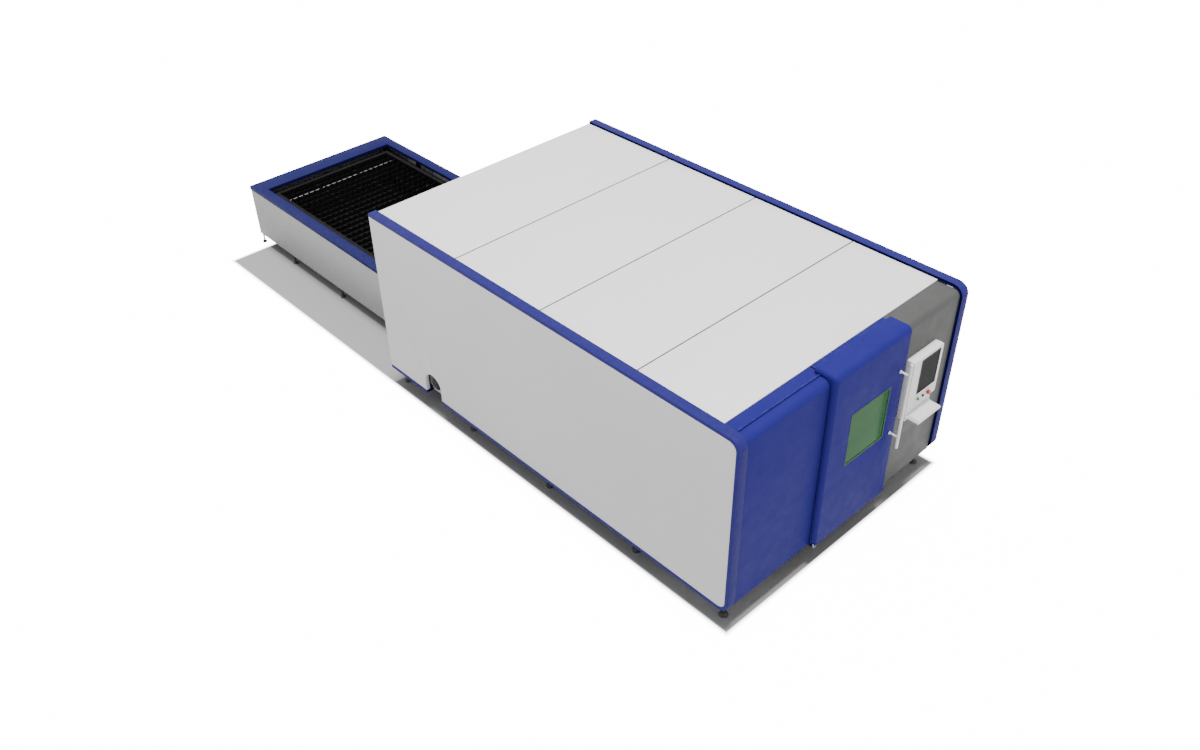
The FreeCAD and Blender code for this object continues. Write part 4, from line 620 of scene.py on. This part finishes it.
FACE_REAR = (-math.pi / 2, math.pi, 0.0)
rear_low, rear_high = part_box("rear_wall")
louvre_places = [(side * LOUVRE_COLUMN, rear_high[1], LOUVRE_FOOT + row * LOUVRE_PITCH)
                 for side in (-1, 1) for row in range(LOUVRE_ROWS)]
spread_along("rear_louvres", pattern_piece("louvre", make_louvre), louvre_places, rear_paint,
             frame["nodes"]["rear_wall"]["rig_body"], turns=[FACE_REAR] * len(louvre_places))


# ---------------------------------------------------------------- zinc-coated sheet work
# The scrap trays, the lift-up shutter and the exhaust duct are bent from hot-dip galvanised sheet and
# left unpainted, so its spangle shows.

def make_zinc_sheet():
    material = bpy.data.materials.new("zinc_sheet")
    material.use_nodes = True
    tree = material.node_tree
    shader = tree.nodes["Principled BSDF"]
    place = tree.nodes.new("ShaderNodeTexCoord").outputs["Object"]
    crystals = tree.nodes.new("ShaderNodeTexVoronoi")
    crystals.inputs["Scale"].default_value = 45.0
    tree.links.new(place, crystals.inputs["Vector"])
    split = tree.nodes.new("ShaderNodeSeparateColor")
    tree.links.new(crystals.outputs["Color"], split.inputs["Color"])
    shade = split.outputs["Red"]
    base = blend_colours(tree, shade, (0.42, 0.43, 0.44, 1), (0.56, 0.57, 0.58, 1))
    dusty = place_group(tree, settled_dust, Amount=0.35, Patch_Scale=6.0)
    top = blend_colours(tree, dusty.outputs["Mask"], base, (0.22, 0.20, 0.18, 1.0))
    tree.links.new(top, shader.inputs["Base Color"])
    tree.links.new(spread(tree, shade, 0.0, 1.0, 0.32, 0.5), shader.inputs["Roughness"])
    shader.inputs["Metallic"].default_value = 0.9
    return material


zinc_sheet = make_zinc_sheet()
finish_with(zinc_sheet, "scrap_trays", "rear_shutter", "exhaust_duct")

# ---------------------------------------------------------------- levelling feet
# Turned steel pads on threaded stems, screwed into the frame's foot plates. They are blackened in
# oil, and the pads stand flat on the floor.

BLACKENED = (0.030, 0.030, 0.031)
blackened = powder_coat("blackened_steel", BLACKENED, roughness=0.55, peel=0.2, cloud=0.1, dust=0.1, rub=0.4)
finish_with(blackened, "levelling_feet")

# ---------------------------------------------------------------- pallets
# Welded tube frames in black, carrying mild-steel support slats with a sawtooth edge. The slats are
# scale-blackened and splashed from cutting.

PALLET_BLACK = (0.004, 0.004, 0.0045)
SLAT_BLACK = (0.008, 0.008, 0.0085)
pallet_coat = powder_coat("pallet_black_coat", PALLET_BLACK, roughness=0.65, peel=0.4, cloud=0.2, dust=0.004,
                          rub=0.02, gloss=0.1)
finish_with(pallet_coat, "upper_pallet_frame", "lower_pallet_frame", "table_tray", "table_frame",
            "table_pallet_rails")
slat_steel = bare_metal("slat_mill_steel", SLAT_BLACK, roughness=0.75, dust=0.003, metallic=0.0, grime=0.1)
slat_steel.node_tree.nodes["Principled BSDF"].inputs["Specular IOR Level"].default_value = 0.15
finish_with(slat_steel, "upper_pallet_slats", "lower_pallet_slats")
wheel_steel = bare_metal("wheel_steel", (0.42, 0.42, 0.43), roughness=0.32, grime=0.4)
finish_with(wheel_steel, "upper_front_wheelset", "upper_rear_wheelset", "lower_front_wheelset",
            "lower_rear_wheelset", "drive_shaft", "idler_sprockets")

# ---------------------------------------------------------------- chain drive
# A greased roller chain in a loop on each side draws the pallets. The bearing housings and the
# gearmotor are castings, brushed with blue-grey machine enamel.

chain_steel = bare_metal("greased_chain_steel", (0.16, 0.15, 0.14), roughness=0.35, grime=0.8)
finish_with(chain_steel, "drive_chains")
CAST_BLUE = (0.10, 0.13, 0.17)
cast_paint = powder_coat("cast_housing_enamel", CAST_BLUE, roughness=0.45, peel=0.9, cloud=0.1, dust=0.25,
                         rub=0.3)
finish_with(cast_paint, "shaft_bearings", "shuttle_gearmotor")

# ---------------------------------------------------------------- gantry and cutting head
# A stress-relieved steel beam in light enamel carries the cross carriage and the vertical slide. The
# head is black-anodised aluminium with a turned brass nozzle.

gantry_enamel = powder_coat("gantry_enamel", (0.62, 0.63, 0.64), roughness=0.42, dust=0.15)
finish_with(gantry_enamel, "gantry_beam", "gantry_end_blocks", "head_carriage", "vertical_slide")
anodised = bare_metal("head_anodised_aluminium", (0.10, 0.10, 0.11), roughness=0.38, metallic=0.7)
finish_with(anodised, "cutting_head")
finish_with(bare_metal("nozzle_brass", (0.70, 0.50, 0.22), roughness=0.25), "nozzle")

# ---------------------------------------------------------------- cabinets
# The laser source and the controls stand in closed sheet-steel enclosures in the front corners of the
# cabin, with a light grey textured coat.

CABINET_GREY = (0.50, 0.51, 0.51)
cabinet_paint = powder_coat("cabinet_coat", CABINET_GREY, roughness=0.5, peel=0.35, dust=0.1)
finish_with(cabinet_paint, "laser_source", "electrical_cabinet")

# ---------------------------------------------------------------- shuttle table
# A folded blue cap runs round three sides of the table's tube frame, over flat grey steel skirts that
# are screwed to the legs with low domed screws.

TABLE_BLUE = (0.010, 0.011, 0.080)
SKIRT_GREY = (0.29, 0.29, 0.30)
table_paint = powder_coat("table_blue_coat", TABLE_BLUE, roughness=0.5, dust=0.012, rub=0.05, gloss=0.05)
skirt_paint = powder_coat("skirt_grey_coat", SKIRT_GREY, roughness=0.5, dust=0.03)
dressed("table_rim", 0.002, table_paint)
dressed("table_skirts", 0.001, skirt_paint)

SCREW_RADIUS = 0.0065
SCREW_HEIGHT = 0.003
SOCKET_RADIUS = 0.0024


def make_button_screw(shell):
    """A low domed screw head with a hexagon socket."""
    def ring(radius, height, corners=0.0):
        points = []
        for step in range(12):
            reach, turn = radius * (1 - corners * (step % 2)), step * math.pi / 6
            points.append((reach * math.cos(turn), reach * math.sin(turn), height))
        return points

    lofted(shell, [ring(SCREW_RADIUS, -0.0005), ring(SCREW_RADIUS, 0.25 * SCREW_HEIGHT),
                   ring(0.82 * SCREW_RADIUS, 0.8 * SCREW_HEIGHT), ring(0.55 * SCREW_RADIUS, SCREW_HEIGHT),
                   ring(SOCKET_RADIUS, SCREW_HEIGHT, 0.13), ring(SOCKET_RADIUS, 0.3 * SCREW_HEIGHT, 0.13)])


FACE_LEFT = (0.0, -math.pi / 2, 0.0)
FACE_RIGHT = (0.0, math.pi / 2, 0.0)
button_screw = pattern_piece("button_screw", make_button_screw)
screw_zinc = bare_metal("screw_zinc", (0.50, 0.50, 0.51), roughness=0.35, dust=0.05)
skirt_low, skirt_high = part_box("table_skirts")
screw_places, screw_turns = [], []
for height in (skirt_low[2] + 0.035, skirt_high[2] - 0.075):
    for step in range(8):
        along = skirt_low[1] + 0.06 + step * (skirt_high[1] - skirt_low[1] - 0.12) / 7
        screw_places += [(skirt_low[0], along, height), (skirt_high[0], along, height)]
        screw_turns += [FACE_LEFT, FACE_RIGHT]
    for step in range(5):
        across = skirt_low[0] + 0.06 + step * (skirt_high[0] - skirt_low[0] - 0.12) / 4
        screw_places.append((across, skirt_high[1], height))
        screw_turns.append(FACE_REAR)
for across in (rear_low[0] + 0.06, 0.5 * rear_low[0], 0.0, 0.5 * rear_high[0], rear_high[0] - 0.06):
    screw_places.append((across, rear_high[1], rear_high[2] - 0.05))
    screw_turns.append(FACE_REAR)
spread_along("sheet_screws", button_screw, screw_places, screw_zinc,
             frame["nodes"]["table_skirts"]["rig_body"], turns=screw_turns)

# ---------------------------------------------------------------- operator console
# A folded white housing on the grey front panel, with a screen set into it behind a black bezel, three
# push buttons, and a hinged shelf for a moulded keyboard.

dressed("console_housing", 0.0015, white_enamel)
finish_with(white_enamel, "keyboard_shelf")


def moulded(name, colour, roughness, depth=0.15):
    """Injection-moulded plastic with a spark-eroded grain."""
    material = bpy.data.materials.new(name)
    material.use_nodes = True
    tree = material.node_tree
    shader = tree.nodes["Principled BSDF"]
    grain = place_group(tree, coat_grain, Peel_Scale=900.0, Cloud_Scale=10.0, Cloud=0.03)
    shade = tree.nodes.new("ShaderNodeCombineColor")
    for channel in ("Red", "Green", "Blue"):
        tree.links.new(grain.outputs["Shade"], shade.inputs[channel])
    tree.links.new(blend_colours(tree, 1.0, (*colour, 1.0), shade.outputs["Color"], "MULTIPLY"),
                   shader.inputs["Base Color"])
    sheen = calculate(tree, "MULTIPLY", grain.outputs["Gloss"], 0.04)
    tree.links.new(calculate(tree, "ADD", roughness, sheen), shader.inputs["Roughness"])
    tree.links.new(bump(tree, grain.outputs["Height"], depth, 0.0002), shader.inputs["Normal"])
    return material


screen_glass = moulded("screen_glass", (0.004, 0.0045, 0.005), 0.3, depth=0.01)
screen_glass.node_tree.nodes["Principled BSDF"].inputs["Specular IOR Level"].default_value = 0.03
finish_with(screen_glass, "console_screen")
key_plastic = moulded("keyboard_plastic", (0.70, 0.70, 0.69), 0.45)
finish_with(key_plastic, "keyboard")

KEY_PITCH = (0.0204, 0.0186)
KEY_HEIGHT = 0.0024
KEY_GAP = 0.0026
KEY_CORNER = 0.0016


def make_key(shell):
    """A keycap one pitch wide: tapered sides and a dished top."""
    def ring(grow, height):
        half_x, half_y = 0.5 * (KEY_PITCH[0] - KEY_GAP) * grow, 0.5 * (KEY_PITCH[1] - KEY_GAP) * grow
        corners = ((1, -1, 1, 0), (1, -1, 0, 1), (1, 1, 0, 1), (1, 1, 1, 0),
                   (-1, 1, 1, 0), (-1, 1, 0, 1), (-1, -1, 0, 1), (-1, -1, 1, 0))
        return [(sx * (half_x - cx * KEY_CORNER), sy * (half_y - cy * KEY_CORNER), height)
                for sx, sy, cx, cy in corners]

    lofted(shell, [ring(1.0, -0.0006), ring(0.97, 0.4 * KEY_HEIGHT), ring(0.84, 0.96 * KEY_HEIGHT),
                   ring(0.74, KEY_HEIGHT), ring(0.3, 0.8 * KEY_HEIGHT)])


keys_low, keys_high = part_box("keyboard")
KEY_ROWS, KEY_COLUMNS = 5, 15
SPACE_BAR = (0, 4)
DOUBLE_KEYS = ((1, 0), (1, 13), (2, 13), (4, 13))
key_places, key_fits = [], []
for row in range(KEY_ROWS):
    depth = 0.5 * (keys_low[1] + keys_high[1]) + (row - 0.5 * (KEY_ROWS - 1)) * KEY_PITCH[1]
    column = 0
    while column < KEY_COLUMNS:
        span = 6 if (row, column) == SPACE_BAR else (2 if (row, column) in DOUBLE_KEYS else 1)
        across = 0.5 * (keys_low[0] + keys_high[0]) + (column + 0.5 * (span - KEY_COLUMNS)) * KEY_PITCH[0]
        key_places.append((across, depth, keys_high[2]))
        key_fits.append((span + (span - 1) * KEY_GAP / (KEY_PITCH[0] - KEY_GAP), 1.0, 1.0))
        column += span
spread_along("keyboard_keys", pattern_piece("keycap", make_key), key_places, key_plastic,
             frame["nodes"]["keyboard"]["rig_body"], fits=key_fits)

BEZEL_WIDTH = 0.009
BEZEL_PROUD = 0.003


def make_screen_bezel():
    """A black frame pressed over the edge of the display, mitred at its corners."""
    low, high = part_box("console_screen")
    shell = bmesh.new()
    profile = [(0.0, 0.001), (0.0, -0.6 * BEZEL_PROUD), (0.15, -BEZEL_PROUD), (0.7, -BEZEL_PROUD),
               (1.0, 0.001)]
    rings = []
    for sx, sz in ((-1, -1), (1, -1), (1, 1), (-1, 1)):
        corner_x, corner_z = (low[0], high[0])[sx > 0], (low[2], high[2])[sz > 0]
        rings.append([shell.verts.new((corner_x - sx * inward * BEZEL_WIDTH, low[1] + proud,
                                       corner_z - sz * inward * BEZEL_WIDTH)) for inward, proud in profile])
    for index, ring in enumerate(rings):
        after = rings[(index + 1) % 4]
        for step in range(len(profile)):
            following = (step + 1) % len(profile)
            shell.faces.new((ring[step], after[step], after[following], ring[following]))
    bmesh.ops.recalc_face_normals(shell, faces=shell.faces)
    mesh = bpy.data.meshes.new("screen_bezel")
    shell.to_mesh(mesh)
    shell.free()
    return mesh


bezel = bpy.data.objects.new("screen_bezel", make_screen_bezel())
bpy.context.collection.objects.link(bezel)
bezel.data.materials.append(moulded("bezel_plastic", (0.012, 0.012, 0.013), 0.5))
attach(bezel, frame["nodes"]["console_screen"]["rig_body"])
finish_with(moulded("green_push_button", (0.02, 0.26, 0.07), 0.25), "start_button")
finish_with(moulded("black_push_button", (0.015, 0.015, 0.016), 0.3), "stop_button")
finish_with(moulded("red_push_button", (0.42, 0.016, 0.012), 0.28), "emergency_stop")
